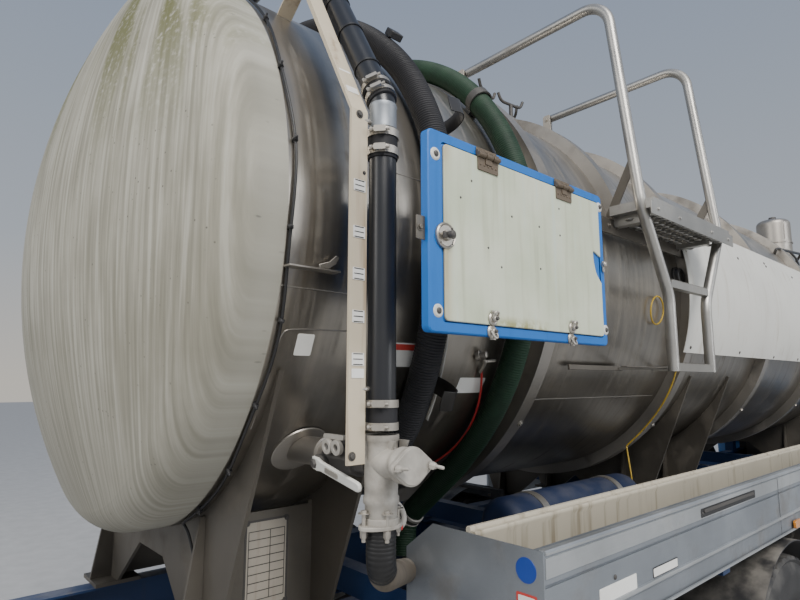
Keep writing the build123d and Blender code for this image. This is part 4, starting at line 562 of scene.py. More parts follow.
# Dusty brown paint, darkened with painted shade for the shade on the elbow's lower left
pipe_dust_and_shade = weathered_paint("pipe_dust_and_shade", (0.12, 0.10, 0.076), (0.05, 0.045, 0.04), 0.55, 0.6, 0.5)
brake_grey = bare_metal("brake_grey", (0.17, 0.155, 0.14), 0.5, 0.5, (30, 30, 30), 0.6)
lamp_clear = plain("lamp_clear", (0.62, 0.64, 0.65), 0.06, alpha=0.45, coat_weight=1.0)
lamp_amber = plain("lamp_amber", (0.55, 0.20, 0.02), 0.15, coat_weight=0.6)
mirror_glass = plain("mirror_glass", (0.75, 0.77, 0.78), 0.03, metallic=1.0, depth=0.0)
oily_black = plain("oily_black", (0.03, 0.028, 0.026), 0.38, grain=60)
hinge_brown = bare_metal("hinge_brown", (0.16, 0.125, 0.09), 0.45, 0.6, (60, 60, 60), 0.5)
cable_black = plain("cable_black", (0.012, 0.012, 0.013), 0.45)
cable_red = plain("cable_red", (0.42, 0.02, 0.02), 0.45)
cable_yellow = plain("cable_yellow", (0.50, 0.33, 0.03), 0.5)

node_finishes = {
    tank_skin: ("tank_shell",), stainless: ("tank_rings", "manhole_neck", "man_lid", "float_pot"),
    saddle_steel: ("tank_saddles",), ladder_steel: ("ladder",),
    tray_alloy: ("hose_tray_left", "hose_tray_right", "side_guards", "fuel_tank"), cast_alloy: ("valve_set",),
    dark_band: ("hose_clips",), cabinet_blue: ("cabinet_body",), cabinet_cream: ("cabinet_door",),
    board_cream: ("gauge_board",), panel_white: ("side_panels",), brake_grey: ("rear_axles",),
    chassis_blue: ("chassis_rails", "cross_members", "tow_jaw", "tray_arms", "vacuum_pump"),
    receiver_blue_painted_shade: ("air_receiver",),
    cab_blue: ("cab_shell", "cab_front", "door_left", "door_right", "front_bumper"),
    beam_black: ("rear_bumper", "battery_box", "mudguards", "cab_steps"), hose_black: ("black_hose",),
    hose_green_painted_shade: ("green_hose",), pipe_black: ("sight_pipe",),
    oily_iron: ("leaf_springs", "front_axle", "knuckle_left", "knuckle_right", "engine_block"),
    trim_black: ("dashboard", "mirrors"), seat_cloth: ("seats",), lamp_red: ("lamps",),
    glass_clear: ("cab_glass", "door_glass_left", "door_glass_right"),
    tyre_rubber: ("front_tyre_left", "front_tyre_right"), rim_silver: ("front_rim_left", "front_rim_right")
}
for axle in ("fore", "aft"):
    for side in ("left", "right"):
        node_finishes[tyre_rubber] += (f"rear_tyres_{axle}_{side}",)
        node_finishes[rim_silver] += (f"rear_rims_{axle}_{side}",)
for material, names in node_finishes.items():
    for name in names:
        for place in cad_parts[name].material_slots:
            place.material = material

# Hoses and the sight pipe


def wound(angles, places, lift):
    """Line round the barrel: angles up from its right side, places along it, height over the skin.

    The points are joined by parabolas, so that the line has no corners.
    """
    turn = np.radians(np.asarray(angles, float))
    reach = TANK_RADIUS + np.broadcast_to(lift, turn.shape)
    points = at(np.asarray(places, float), -reach * np.cos(turn), reach * np.sin(turn))
    return rounded(points, 9.0)


def ribbed(path, radius, pitch, rise, sides=26):
    """A hose whose wall swells and shrinks along it.

    Radius at a distance = radius - rise + rise * |sin(pi * distance / pitch)| ^ 0.7.
    """
    path = even(path, pitch / 5)
    distance = np.arange(len(path)) * np.linalg.norm(path[1] - path[0])
    wave = np.abs(np.sin(np.pi * distance / pitch)) ** 0.7
    return tube(path, radius - rise + rise * wave, sides)


def worm_clamp(place, direction, radius, side, width=0.02):
    """A thin steel band round a pipe, with its screw housing on one side."""
    along, across, up = axes_along(direction)
    strip = band(place, along, radius, radius + 0.003, width / 2, 40)
    out = unit(side - np.dot(side, along) * along)
    tangent = np.cross(along, out)
    seat = place + out * (radius + 0.006)
    housing = slab(0.03, width * 0.8, 0.003, seat - out * 0.005, 0.012, tangent, along)
    screw = turned(
        seat - tangent * 0.026, tangent, [(0, 0.006), (0.006, 0.0065), (0.008, 0.004), (0.05, 0.004)], 10
    )
    return join(strip, housing, screw)


COLUMN_X = 0.208
COLUMN_Y = -1.04
BEND_Z = 0.263
LEAN = 0.554

black_line = wound(
    (-52, -43, -33, -21, -9, 5, 18, 33, 45, 57, 70, 82),
    (0.52, 0.518, 0.51, 0.49, 0.485, 0.49, 0.495, 0.495, 0.475, 0.46, 0.455, 0.455), 0.058
)
green_line = wound((82, 72, 60, 48, 36, 24, 12, 0, -12, -24, -36, -48), (0.9,) * 12, 0.057)
tail_way = np.array([0.0, math.sin(math.radians(50)), -math.cos(math.radians(50))])
tail_start = on_tank(0.9, -50, 0.057)
tail_bend = tail_start + tail_way * 0.36
green_line = np.concatenate(
    [green_line[:-1], rounded([tail_start, tail_bend, tail_bend + [-0.03, -0.03, -0.13]], 0.05, 8)]
)
fixed(
    "black_suction_hose", hose_black, ribbed(black_line, 0.044, 0.0085, 0.003), sharp=80,
    replaces=("black_hose",)
)
fixed(
    "green_suction_hose", hose_green_painted_shade, ribbed(green_line, 0.043, 0.0085, 0.0022), sharp=80,
    replaces=("green_hose",)
)


def on_column(z):
    """Middle of the sight pipe and its way up, at a height over the tank's axis."""
    rise = max(0.0, z - BEND_Z)
    return at(COLUMN_X, COLUMN_Y + LEAN * rise, z), np.array([0.0, LEAN if z > BEND_Z - 0.01 else 0.0, 1.0])


def sleeve(low, high, radius):
    """Rubber sleeve on the sight pipe with soft ends."""
    length = high - low
    profile = [(0, radius - 0.003), (0.002, radius), (length - 0.002, radius), (length, radius - 0.003)]
    middle, way = on_column(low)
    return turned(middle, way, profile, 40)


clamp_side = np.array([-0.75, -0.66, 0.0])
fixed(
    "sight_pipe_sleeves", hose_black, sleeve(0.105, 0.188, 0.0382), sleeve(0.262, 0.292, 0.0385),
    sleeve(0.296, 0.325, 0.0385), sleeve(-0.566, -0.494, 0.0385)
)
fixed(
    "sight_pipe_clamps", zinc,
    *(
        worm_clamp(*on_column(z), 0.0385, clamp_side, width)
        for z, width in (
            (0.125, 0.02), (0.172, 0.02), (0.278, 0.014), (0.31, 0.014), (-0.504, 0.018), (-0.557, 0.018)
        )
    )
)
fixed(
    "sight_pipe_union", tray_alloy,
    turned(
        at(COLUMN_X, COLUMN_Y, 0.182), UP,
        [(0, 0.0355), (0.008, 0.0362), (0.012, 0.0355), (0.06, 0.0355), (0.066, 0.037), (0.072, 0.0355)], 40
    )
)
fixed(
    "sight_pipe_ties", cable_black,
    *(
        band(at(COLUMN_X, COLUMN_Y + LEAN * rise, BEND_Z + rise), (0.0, LEAN, 1.0), 0.0345, 0.0375, 0.003, 32)
        for rise in (0.12, 0.26, 0.38)
    )
)
loose_tie = rounded(
    [
        at(COLUMN_X + 0.036, COLUMN_Y + LEAN * rise + side, BEND_Z + rise)
        for rise, side in ((0.42, 0.0), (0.33, -0.012), (0.27, 0.008), (0.2, -0.01), (0.14, 0.004))
    ], 0.04
)
fixed("sight_pipe_lead", cable_black, tube(loose_tie, 0.0035, 8))

# Valve set below the sight pipe: the casting and its branch, with a flap on the branch's end
BRANCH_Z = -0.64
casting = turned(
    at(COLUMN_X, COLUMN_Y, -0.5765), -UP,
    [
        (0, 0.036), (0, 0.0425), (0.012, 0.043), (0.015, 0.0405), (0.03, 0.0395), (0.1, 0.0405),
        (0.138, 0.0395), (0.142, 0.0425), (0.156, 0.0425), (0.16, 0.0385), (0.2, 0.0375)
    ], 48
)
branch = turned(
    at(COLUMN_X, COLUMN_Y + 0.01, BRANCH_Z), OUT,
    [
        (0, 0.041), (0.045, 0.037), (0.062, 0.0335), (0.072, 0.033), (0.078, 0.039), (0.084, 0.041),
        (0.094, 0.041), (0.098, 0.037), (0.104, 0.0375), (0.11, 0.036)
    ], 44
)
casting_ribs = [
    prism(
        [(0, 0), (0.03, 0), (0.012, 0.04), (0, 0.045)],
        at(COLUMN_X + side * 0.03 - 0.003, COLUMN_Y - 0.03, -0.588), OUT, -UP, 0.006
    ) for side in (-0.3, 1.1)
]
fixed("valve_casting", cast_alloy, casting, branch, *casting_ribs, sharp=50, replaces=("valve_set",))


def lozenge(radius, ear, reach, steps=14):
    """Outline of a round cover with two ears: the arcs of three circles and their common tangents."""
    lean = math.degrees(math.acos((radius - ear) / reach))
    parts = []
    for centre, size, low, high in (
        (reach, ear, -lean, lean), (0, radius, lean, 180 - lean), (-reach, ear, 180 - lean, 180 + lean),
        (0, radius, 180 + lean, 360 - lean)
    ):
        turn = np.radians(np.linspace(low, high, steps))
        parts.append(np.stack([centre + size * np.cos(turn), size * np.sin(turn)], axis=1))
    return np.concatenate(parts)


def wing_nut(place, way, span=0.02):
    """Stud, nut and two wings that lean outwards."""
    along, across, up = axes_along(way)
    stud = turned(place, along, [(0, 0.0042), (0.036, 0.0042), (0.038, 0.003)], 10)
    hub = turned(place + along * 0.004, along, [(0, 0.0095), (0.008, 0.0085), (0.014, 0.006)], 14)
    outline = [
        (0, -0.005), (span * 0.7, -0.0045), (span, 0.004), (span, 0.013), (span * 0.6, 0.01), (0, 0.006)
    ]
    wings = [
        prism(np.array(outline) * [side, 1], place + along * 0.01 - up * 0.0015, across, along, 0.003)
        for side in (-1, 1)
    ]
    return join(stud, hub, *wings)


flap_place = at(COLUMN_X, COLUMN_Y - 0.1, BRANCH_Z)
flap = prism(lozenge(0.044, 0.0135, 0.05), flap_place, ALONG_X, UP, 0.011)
rim = prism(lozenge(0.041, 0.011, 0.05), flap_place + OUT * 0.009, ALONG_X, UP, 0.004)
fixed("valve_flap", cast_alloy, flap, rim, bevel=0.002)
fixed(
    "valve_wing_nuts", cast_alloy, wing_nut(flap_place + [-0.05, -0.012, 0.0], (0.05, -1, 0.1)),
    wing_nut(flap_place + [0.05, -0.012, 0.0], (0.25, -1, -0.12))
)
flange_turn = np.radians(np.linspace(0, 360, 48, endpoint=False))
flange_reach = 0.045 * np.cos(flange_turn) + 0.016 * np.cos(flange_turn) ** 3
flange_outline = np.stack([flange_reach, 0.043 * np.sin(flange_turn)], axis=1)
flange_bolts = [
    join(
        disc(at(COLUMN_X + dx, COLUMN_Y + dy, -0.748), -UP, 0.0052, 0.066, 10),
        bolt(at(COLUMN_X + dx, COLUMN_Y + dy, -0.752), UP, 0.017),
        turned(
            at(COLUMN_X + dx, COLUMN_Y + dy, -0.789), -UP, [(0, 0.009), (0.014, 0.0085), (0.018, 0.006)], 6
        )
    ) for dx, dy in ((-0.048, 0.004), (0.048, -0.004), (-0.012, -0.036))
]
fixed(
    "valve_lower_flange", cast_alloy,
    prism(flange_outline, at(COLUMN_X, COLUMN_Y, -0.788), ALONG_X, LEFT, 0.009),
    band(at(COLUMN_X, COLUMN_Y, -0.772), UP, 0.036, 0.041, 0.008, 40), bevel=0.0015
)
fixed("valve_flange_bolts", zinc, *flange_bolts)
cam_arm = rounded(
    [at(0.262, -1.02, -0.735), at(0.285, -1.03, -0.76), at(0.287, -1.035, -0.79), at(0.27, -1.03, -0.805)],
    0.02
)
fixed("valve_cam_arm", cast_alloy, tube(cam_arm, 0.007, 12, squash=0.5))
fixed("valve_cam_pad", cable_red, slab(0.022, 0.016, 0.004, at(0.262, -1.035, -0.796), 0.01), bevel=0.001)

# Ball valve between the tank and the casting, with its white lever
inlet_place = at(COLUMN_X, -0.60, BRANCH_Z)
fixed(
    "inlet_stub", stainless,
    turned(
        inlet_place, OUT,
        [(0, 0.038), (0.2, 0.038), (0.205, 0.044), (0.217, 0.044), (0.22, 0.036), (0.25, 0.036)], 36
    ), turned(on_tank(COLUMN_X, -43.5), off_tank(-43.5), [(0, 0.085), (0.004, 0.084), (0.005, 0.08)], 48)
)
fixed(
    "ball_valve_body", oily_iron,
    turned(
        at(COLUMN_X, -0.845, BRANCH_Z), OUT,
        [
            (0, 0.037), (0.004, 0.045), (0.02, 0.046), (0.03, 0.043), (0.06, 0.046), (0.09, 0.043),
            (0.1, 0.046), (0.118, 0.045), (0.122, 0.036), (0.16, 0.035)
        ], 8
    ), bevel=0.002
)
fixed(
    "inlet_clamp_lugs", cast_alloy,
    *(band(at(0.154, y, -0.612), (1, 0, 0.1), 0.009, 0.019, 0.006, 26) for y in (-0.895, -0.935)),
    slab(0.085, 0.012, 0.005, at(0.155, -0.915, -0.588), 0.012, LEFT), bevel=0.001
)
lever_root = at(0.15, -0.857, -0.655)
lever_tip = at(0.138, -1.058, -0.69)
lever_way = unit(lever_tip - lever_root)
lever_face = unit(np.cross(lever_way, np.cross([-0.75, -0.55, -0.2], lever_way)))
lever_up = np.cross(lever_face, lever_way)
lever_end = float(np.linalg.norm(lever_tip - lever_root))
lever_half = [
    (-0.012, 0.016), (0.012, 0.017), (0.03, 0.013), (lever_end - 0.012, 0.0115), (lever_end - 0.003, 0.009)
]
lever_outline = [(reach, -side) for reach, side in lever_half] + [(lever_end, 0.0)] + lever_half[::-1]
fixed("valve_lever", lever_white, prism(lever_outline, lever_root, lever_way, lever_up, 0.01), bevel=0.003)
fixed(
    "valve_lever_plate", zinc,
    slab(
        0.058, 0.012, 0.002, lever_root + lever_way * 0.085 + lever_face * 0.0012, 0.0112, lever_way, lever_up
    )
)
fixed(
    "valve_lever_hub", oily_iron,
    turned(lever_root - lever_face * 0.03, lever_face, [(0, 0.02), (0.03, 0.02), (0.034, 0.017)], 26),
    turned(lever_root + lever_face * 0.004, lever_face, [(0, 0.013), (0.01, 0.012), (0.013, 0.009)], 6)
)

# Elbow below the flange: ribbed rubber, then a dusty rigid bend that goes in behind the tray's end; both are
# darkened with painted shade
elbow_line = rounded(
    [
        at(COLUMN_X, COLUMN_Y, -0.79), at(COLUMN_X, COLUMN_Y, -0.9), at(0.62, -0.69, -1.045),
        at(1.15, -0.64, -1.06)
    ], 0.085, 14
)
elbow_line = even(elbow_line, 0.006)
# Painted shade: the black rubber is darkened further for the shade on the elbow's left side
elbow_black_painted_shade = plain("elbow_black_painted_shade", (0.005, 0.005, 0.0055), 0.5, grain=90)
fixed("elbow_rubber", elbow_black_painted_shade, ribbed(elbow_line[:19], 0.0355, 0.009, 0.0012), sharp=80)
fixed("elbow_pipe", pipe_dust_and_shade, tube(elbow_line[16:], 0.0345, 32))
fixed(
    "hose_end_coupling", cast_alloy,
    turned(
        tail_start + tail_way * 0.3, tail_way,
        [
            (0, 0.0445), (0.002, 0.049), (0.012, 0.05), (0.014, 0.047), (0.03, 0.047), (0.032, 0.0505),
            (0.04, 0.0505), (0.042, 0.0445)
        ], 36
    )
)


# Cabinet: cover panel, hinges, latches and screws
CABINET_FACE = -1.225


def on_cabinet(x, z, proud=0.0):
    """Point on the cabinet's front plate."""
    return at(x, CABINET_FACE - proud, z)


def plate_on_cabinet(x, z, proud, outline, depth):
    """A flat outline that stands the depth out from the cabinet's front."""
    return prism(outline, on_cabinet(x, z, proud), ALONG_X, UP, depth)


def rounds(*rows):
    """A closed skin over rounded rectangles: x low, x high, z low, z high, corner and depth of each."""
    rings = []
    for left, right, low, high, corner, y in rows:
        outline = rounded_outline(right - left, high - low, corner, 6)
        rings.append(at((left + right) / 2 + outline[:, 0], y, (low + high) / 2 + outline[:, 1]))
    return capped(grid(np.stack(rings), wrap_columns=True), len(rings[0]))


fixed(
    "cabinet_case", cabinet_blue,
    rounds(
        (0.314, 0.909, -0.302, 0.086, 0.008, -1.112), (0.314, 0.909, -0.302, 0.086, 0.008, -1.209),
        (0.226, 0.930, -0.323, 0.107, 0.010, -1.209), (0.226, 0.930, -0.323, 0.107, 0.010, -1.224),
        (0.229, 0.927, -0.320, 0.104, 0.010, -1.2265), (0.190, 0.948, -0.341, 0.125, 0.012, -1.2265),
        (0.187, 0.951, -0.344, 0.128, 0.014, -1.224), (0.187, 0.951, -0.344, 0.128, 0.014, -1.203),
        (0.302, 0.921, -0.314, 0.098, 0.010, -1.203), (0.302, 0.921, -0.314, 0.098, 0.010, -1.104),
        (0.306, 0.917, -0.310, 0.094, 0.010, -1.10)
    ), sharp=25, replaces=("cabinet_body",)
)
fixed(
    "cabinet_posts", saddle_steel,
    *(block(at(x - 0.0225, -1.1, -0.153), at(x + 0.0225, -0.92, -0.063)) for x in (0.609, 0.779)), bevel=0.003
)
piece(
    "cabinet_door_leaf", "cabinet_door", cabinet_blue,
    rounds(
        (0.231, 0.925, -0.318, 0.102, 0.008, -1.213), (0.231, 0.925, -0.318, 0.102, 0.008, -1.223),
        (0.233, 0.923, -0.316, 0.100, 0.008, -1.225)
    ), sharp=25, replaces=("cabinet_door",)
)
notch = rounded(
    [(0.924, -0.154), (0.894, -0.125), (0.884, -0.09), (0.881, -0.056), (0.924, -0.073)], 0.012, 5
)
panel_outline = rounded_outline(0.69, 0.417, 0.012, 6) + [0.579, -0.1085]
piece(
    "cabinet_cover", "cabinet_door", cabinet_cream,
    plate_on_cabinet(0, 0, 0.0, np.concatenate([panel_outline, notch]), 0.006), bevel=0.002
)
rivet_spots = (
    (0.485, -0.029), (0.605, -0.034), (0.705, 0.037), (0.705, -0.041), (0.388, -0.127), (0.438, -0.169),
    (0.605, -0.151), (0.33, 0.03), (0.29, -0.02)
)
piece(
    "cabinet_cover_rivets", "cabinet_door", oily_iron,
    *(rivet(on_cabinet(x, z, 0.006), OUT, 0.0032) for x, z in rivet_spots)
)
corner_spots = [(0.21, 0.068), (0.215, -0.296), (0.936, 0.09), (0.94, -0.296)]
fixed(
    "cabinet_washers", lever_white,
    *(
        turned(on_cabinet(x, z), OUT, [(0, 0.0155), (0.002, 0.0155), (0.0045, 0.012), (0.0045, 0.006)], 24)
        for x, z in corner_spots
    )
)
fixed(
    "cabinet_screws", oily_iron,
    *(
        turned(on_cabinet(x, z, 0.0035), OUT, [(0, 0.0075), (0.003, 0.007), (0.005, 0.0045)], 12)
        for x, z in corner_spots
    )
)
HINGE_Y, HINGE_Z = -1.237, 0.1045
knuckle_profile = [(0, 0.0065), (0.001, 0.0072), (0.024, 0.0072), (0.025, 0.0065)]
for number, x in enumerate((0.391, 0.730)):
    for part, body, middle, height, proud, spans in (
        ("upper", "chassis", 0.1165, 0.018, 0.0017, (-0.028, 0.028)),
        ("lower", "cabinet_door", 0.0835, 0.036, 0.0062, (0.0,))
    ):
        shapes = [plate_on_cabinet(x, middle, proud, rounded_outline(0.078, height, 0.003), 0.003)]
        for span in spans:
            shapes.append(turned(at(x + span - 0.0125, HINGE_Y, HINGE_Z), ALONG_X, knuckle_profile, 18))
            low = at(x + span - 0.012, HINGE_Y, min(middle, HINGE_Z))
            shapes.append(block(low, at(x + span + 0.012, CABINET_FACE - proud, max(middle, HINGE_Z))))
        rivet_z = middle - np.sign(HINGE_Z - middle) * 0.003
        for dx in (-0.03, -0.015, 0.0, 0.015, 0.03):
            shapes.append(rivet(on_cabinet(x + dx, rivet_z, proud + 0.003), OUT, 0.004))
        piece(f"cabinet_hinge_leaf_{part}_{number}", body, hinge_brown, *shapes, bevel=0.0005)
handle_x, handle_z = 0.238, -0.122
piece(
    "cabinet_handle_rose", "cabinet_door", zinc,
    turned(
        on_cabinet(handle_x, handle_z, 0.0005), OUT,
        [
            (0, 0.031), (0.007, 0.031), (0.010, 0.028), (0.007, 0.024), (0.007, 0.013), (0.016, 0.012),
            (0.018, 0.009)
        ], 40
    )
)
piece(
    "cabinet_handle_wing", "cabinet_door", oily_iron,
    prism(
        [(-0.018, -0.007), (0.018, -0.008), (0.022, 0.0), (0.018, 0.008), (-0.018, 0.007)],
        on_cabinet(handle_x, handle_z, 0.013), unit([1, 0, 0.1]), unit([-0.1, 0, 1]), 0.006
    ), turned(on_cabinet(handle_x, handle_z, 0.013), OUT, [(0, 0.009), (0.018, 0.008), (0.02, 0.005)], 20),
    *(
        rivet(on_cabinet(handle_x + dx, handle_z + dz, 0.0085), OUT, 0.0035)
        for dx, dz in circle(0.027, (0.8, 2.4, 3.9, 5.5))
    ), bevel=0.001
)
rose = [(0, 0.0165), (0.003, 0.0165), (0.006, 0.013), (0.005, 0.009), (0.012, 0.008), (0.014, 0.005)]
for number, x in enumerate((0.397, 0.745)):
    for part, body, level, proud in (
        ("catch", "cabinet_door", -0.302, 0.0062), ("base", "chassis", -0.3325, 0.0017)
    ):
        way = 1 if part == "catch" else -1
        grip_spots = ((-0.009, 0, 0.008), (-0.006, 0.016, 0.016), (0.006, 0.016, 0.016), (0.009, 0, 0.008))
        grip = bent(
            [on_cabinet(x + dx, level + way * dz, proud + dy) for dx, dz, dy in grip_spots], 0.006, 0.0028, 8
        )
        outline = [(-0.012, -0.006), (0.012, -0.006), (0.009, 0.02), (-0.009, 0.02)]
        tongue = plate_on_cabinet(x, level, proud + 0.003, np.array(outline) * [1, way], 0.004)
        piece(
            f"cabinet_latch_{part}_{number}", body, zinc, turned(on_cabinet(x, level, proud), OUT, rose, 22),
            grip, tongue, bevel=0.0006
        )
        piece(
            f"cabinet_latch_pins_{part}_{number}", body, oily_iron,
            *(rivet(on_cabinet(x + dx, level, proud + 0.006), OUT, 0.0035) for dx in (-0.008, 0.008)),
            turned(on_cabinet(x, level, proud + 0.01), OUT, [(0, 0.0045), (0.008, 0.0045), (0.01, 0.003)], 12)
        )
fixed(
    "cabinet_side_lock", zinc,
    turned(on_cabinet(0.94, -0.093, 0.0), OUT, [(0, 0.009), (0.012, 0.009), (0.015, 0.006)], 18),
    slab(0.012, 0.034, 0.003, on_cabinet(0.938, -0.1, 0.004), 0.004), bevel=0.0008
)
fixed(
    "cabinet_side_tab", saddle_steel, slab(0.03, 0.055, 0.003, at(0.176, -1.212, -0.11), 0.003),
    bolt(at(0.172, -1.2155, -0.11), OUT, 0.012), bevel=0.0005
)

# Gauge board: blank labels with a tick, screws and stays
board_face = -1.0385
label_places = (0.024, -0.093, -0.196, -0.299, -0.4, -0.433)
fixed(
    "gauge_labels", label_white,
    *(
        slab(0.036, 0.03 if z > -0.42 else 0.022, 0.002, at(0.136, board_face, z), 0.0008)
        for z in label_places
    )
)
fixed(
    "gauge_label_ticks", black_ink_and_shade,
    *(
        block(at(0.122, board_face - 0.0013, z + dz), at(0.15, board_face - 0.0006, z + dz + 0.0022))
        for z in label_places[:5] for dz in (-0.001, 0.0115, -0.0135)
    )
)
slope_way = unit([0.0, 0.28, 0.53])
slope_out = np.cross(ALONG_X, slope_way)
slope_labels = (0.075, 0.16, 0.245, 0.35)
fixed(
    "gauge_slope_labels", label_white,
    *(
        slab(
            0.036, 0.024, 0.002, at(0.136, -1.0383, 0.221) + slope_way * reach + slope_out * 0.0004, 0.0012,
            ALONG_X, slope_way
        ) for reach in slope_labels
    )
)
fixed(
    "gauge_board_screws", oily_iron, bolt(at(0.134, board_face, 0.209), OUT, 0.013),
    bolt(at(0.122, board_face, -0.621), OUT, 0.013), bolt(at(0.15, board_face, 0.06), OUT, 0.006)
)
board_stays = [
    rounded([at(0.135, -1.03, z), at(0.17, -1.035, z), at(0.2, -1.01, z + 0.003)], 0.01) for z in (0.2, -0.47)
]
fixed("gauge_board_stays", zinc, *(tube(path, 0.006, 10) for path in board_stays))

# Barrel fittings, on the skin between the dish and the first ring
rim_angles = np.linspace(-68, 115, 42)
rim_cable = wound(rim_angles, 0.014 + 0.006 * np.sin(rim_angles * 0.21), 0.008)
to_chassis = rounded(
    [on_tank(0.014, -68, 0.008), at(0.03, -0.36, -0.9), at(0.05, -0.375, -1.0), at(0.05, -0.39, -1.2)], 0.05
)
fixed(
    "rim_cable", cable_black, tube(even(np.concatenate([to_chassis[::-1], rim_cable[1:]]), 0.012), 0.0042, 10)
)
clips = []
for angle in (-60, -47, -33, -19, -5, 9, 23, 37, 51, 65, 80, 98):
    spot = on_tank(0.014 + 0.006 * math.sin(angle * 0.21), angle)
    out = off_tank(angle)
    clips.append(slab(0.016, 0.011, 0.003, spot + out * 0.001, 0.014, np.cross(out, ALONG_X), ALONG_X))
    clips.append(band(spot + out * 0.008, np.cross(out, ALONG_X), 0.004, 0.0068, 0.004, 16))
    clips.append(
        turned(
            spot + out * 0.004 - ALONG_X * 0.004, out,
            [(0, 0.0055), (0.012, 0.0055), (0.013, 0.0035), (0.02, 0.003)], 8
        )
    )
fixed("rim_cable_clips", trim_black, *clips, bevel=0.0008)


def bead(angles, places, size=0.0035, lift=0.0):
    """A low weld bead along a line on the barrel."""
    line = wound(np.asarray(angles, float), np.asarray(places, float), lift)
    path = even(line, 0.006)
    bumps = size * (0.9 + 0.12 * np.sin(np.arange(len(path)) * 2.1))
    return tube(path, bumps, 8)


def patch(place, angle, width, height, corner=0.004, thick=0.0012, lift=0.0008):
    """A thin plate that follows the barrel: angle is at its middle, height is measured round the skin."""
    outline = rounded_outline(width, height, corner, 4)
    reach = TANK_RADIUS + lift
    turn = math.radians(angle) + outline[:, 1] / TANK_RADIUS
    faces = []
    for radius in (reach, reach + thick):
        faces.append(at(place + outline[:, 0], -radius * np.cos(turn), radius * np.sin(turn)))
    return capped(grid(np.stack(faces), wrap_columns=True), len(outline))


fixed(
    "barrel_weld_beads", stainless, bead(np.full(12, -13.8), np.linspace(0.002, 0.205, 12), 0.0022),
    bead(np.full(20, 9.0), np.linspace(0.3, 1.05, 20), 0.0018),
    bead(np.full(24, -34.0), np.linspace(0.95, 2.2, 24), 0.0018),
    bead(np.linspace(-60, 80, 44), np.full(44, 1.0), 0.002),
    bead((-20, -20.2, -21, -24, -30, -38), (0.225, 0.05, 0.03, 0.026, 0.026, 0.026), 0.002)
)
fixed("label_dish_side", label_white, patch(0.101, -22.7, 0.05, 0.058), bevel=0.0002)
fixed("label_barrel", label_white, patch(0.79, -29.9, 0.128, 0.058), bevel=0.0002)
fixed("plate_behind_hose", label_white, patch(0.44, -23.7, 0.09, 0.075), bevel=0.0002)
fixed("plate_behind_hose_band", label_red, patch(0.44, -22.2, 0.082, 0.018, 0.002, 0.0006, 0.0021))
fixed(
    "barrel_eye_bracket", stainless,
    slab(0.15, 0.036, 0.003, on_tank(0.078, -10.6, 0.012), 0.005, ALONG_X, OUT),
    prism(
        [(0, 0), (0.03, 0.002), (0.05, 0.016), (0.06, 0.034), (0.05, 0.038), (0.03, 0.02), (0, 0.01)],
        on_tank(0.09, -10.6, 0.02) + UP * 0.002, ALONG_X, UP, 0.006
    ), rivet(on_tank(0.12, -10.6, 0.02), UP, 0.007), bevel=0.0012
)
CABLE_RADIUS = 0.0038
red_line = wound(
    (-25.5, -29.5, -34.5, -40, -46.3, -52.7, -57), (0.8, 0.826, 0.852, 0.868, 0.87, 0.85, 0.80),
    (0.012, 0.02, 0.024, 0.026, 0.022, 0.012, 0.006)
)
fixed("red_cable", cable_red, tube(even(red_line, 0.01), CABLE_RADIUS, 10))
fixed(
    "red_cable_socket", zinc,
    turned(
        on_tank(0.775, -23.2), unit([0.2, -1, 0.1]),
        [(0, 0.018), (0.012, 0.017), (0.014, 0.012), (0.035, 0.011), (0.037, 0.008)], 20
    ), disc(on_tank(0.80, -24.2, 0.012), unit([0.9, -0.2, 0.1]), 0.006, 0.05, 10),
    bent([on_tank(0.775, -23.2, 0.03), on_tank(0.79, -24, 0.03), on_tank(0.8, -26.5, 0.012)], 0.02, 0.006, 10)
)


def trough(start, end, thick=0.004):
    """A bent strip beside the black hose.

    Its line runs out from the skin and curls over, and is carried round the barrel.
    """
    line = rounded([(0.60, 0.0), (0.622, 0.055), (0.605, 0.118), (0.545, 0.108)], 0.045, 7)
    way_on = unit(np.gradient(line, axis=0))
    outline = np.concatenate([line, (line + thick * way_on[:, ::-1] * [1, -1])[::-1]])
    turn = np.radians(np.linspace(start, end, 6))[:, None]
    flare = 0.012 * np.linspace(0, 1, 6)[:, None] ** 2
    reach = TANK_RADIUS + outline[None, :, 1]
    points = at(outline[None, :, 0] + flare, -reach * np.cos(turn), reach * np.sin(turn))
    return capped(grid(points, wrap_columns=True), len(outline))


fixed("hose_trough_upper", oily_black, trough(21.5, 25.2), bevel=0.001)
fixed("hose_trough_lower", oily_black, trough(-27.5, -31.2), bevel=0.001)
strip_rows = wound(np.linspace(2, -38, 12), np.linspace(0.548, 0.655, 12), 0.003)
fixed("hose_side_strip", panel_white, tube(even(strip_rows, 0.02), 0.007, 10, squash=0.5))
fixed(
    "hose_top_block", trim_black,
    slab(0.05, 0.045, 0.006, on_tank(0.492, 43.4, 0.098), 0.024, ALONG_X, unit([0, 0.69, 0.72])), bevel=0.003
)

# Ladder: toothed treads, perforated platform, braces and brackets


def saw(place, length, width, pitch, rise):
    """A bar along the truck whose top is a row of teeth: a zigzag outline pushed across it."""
    count = int(length / pitch)
    along = np.repeat(np.arange(count + 1), 2)[1:-1] * pitch
    top = np.where(np.arange(len(along)) % 2, rise * 0.15, rise)
    outline = np.concatenate([np.stack([along, top], axis=1), [(count * pitch, -0.002), (0, -0.002)]])
    return prism(outline, place, ALONG_X, UP, width)


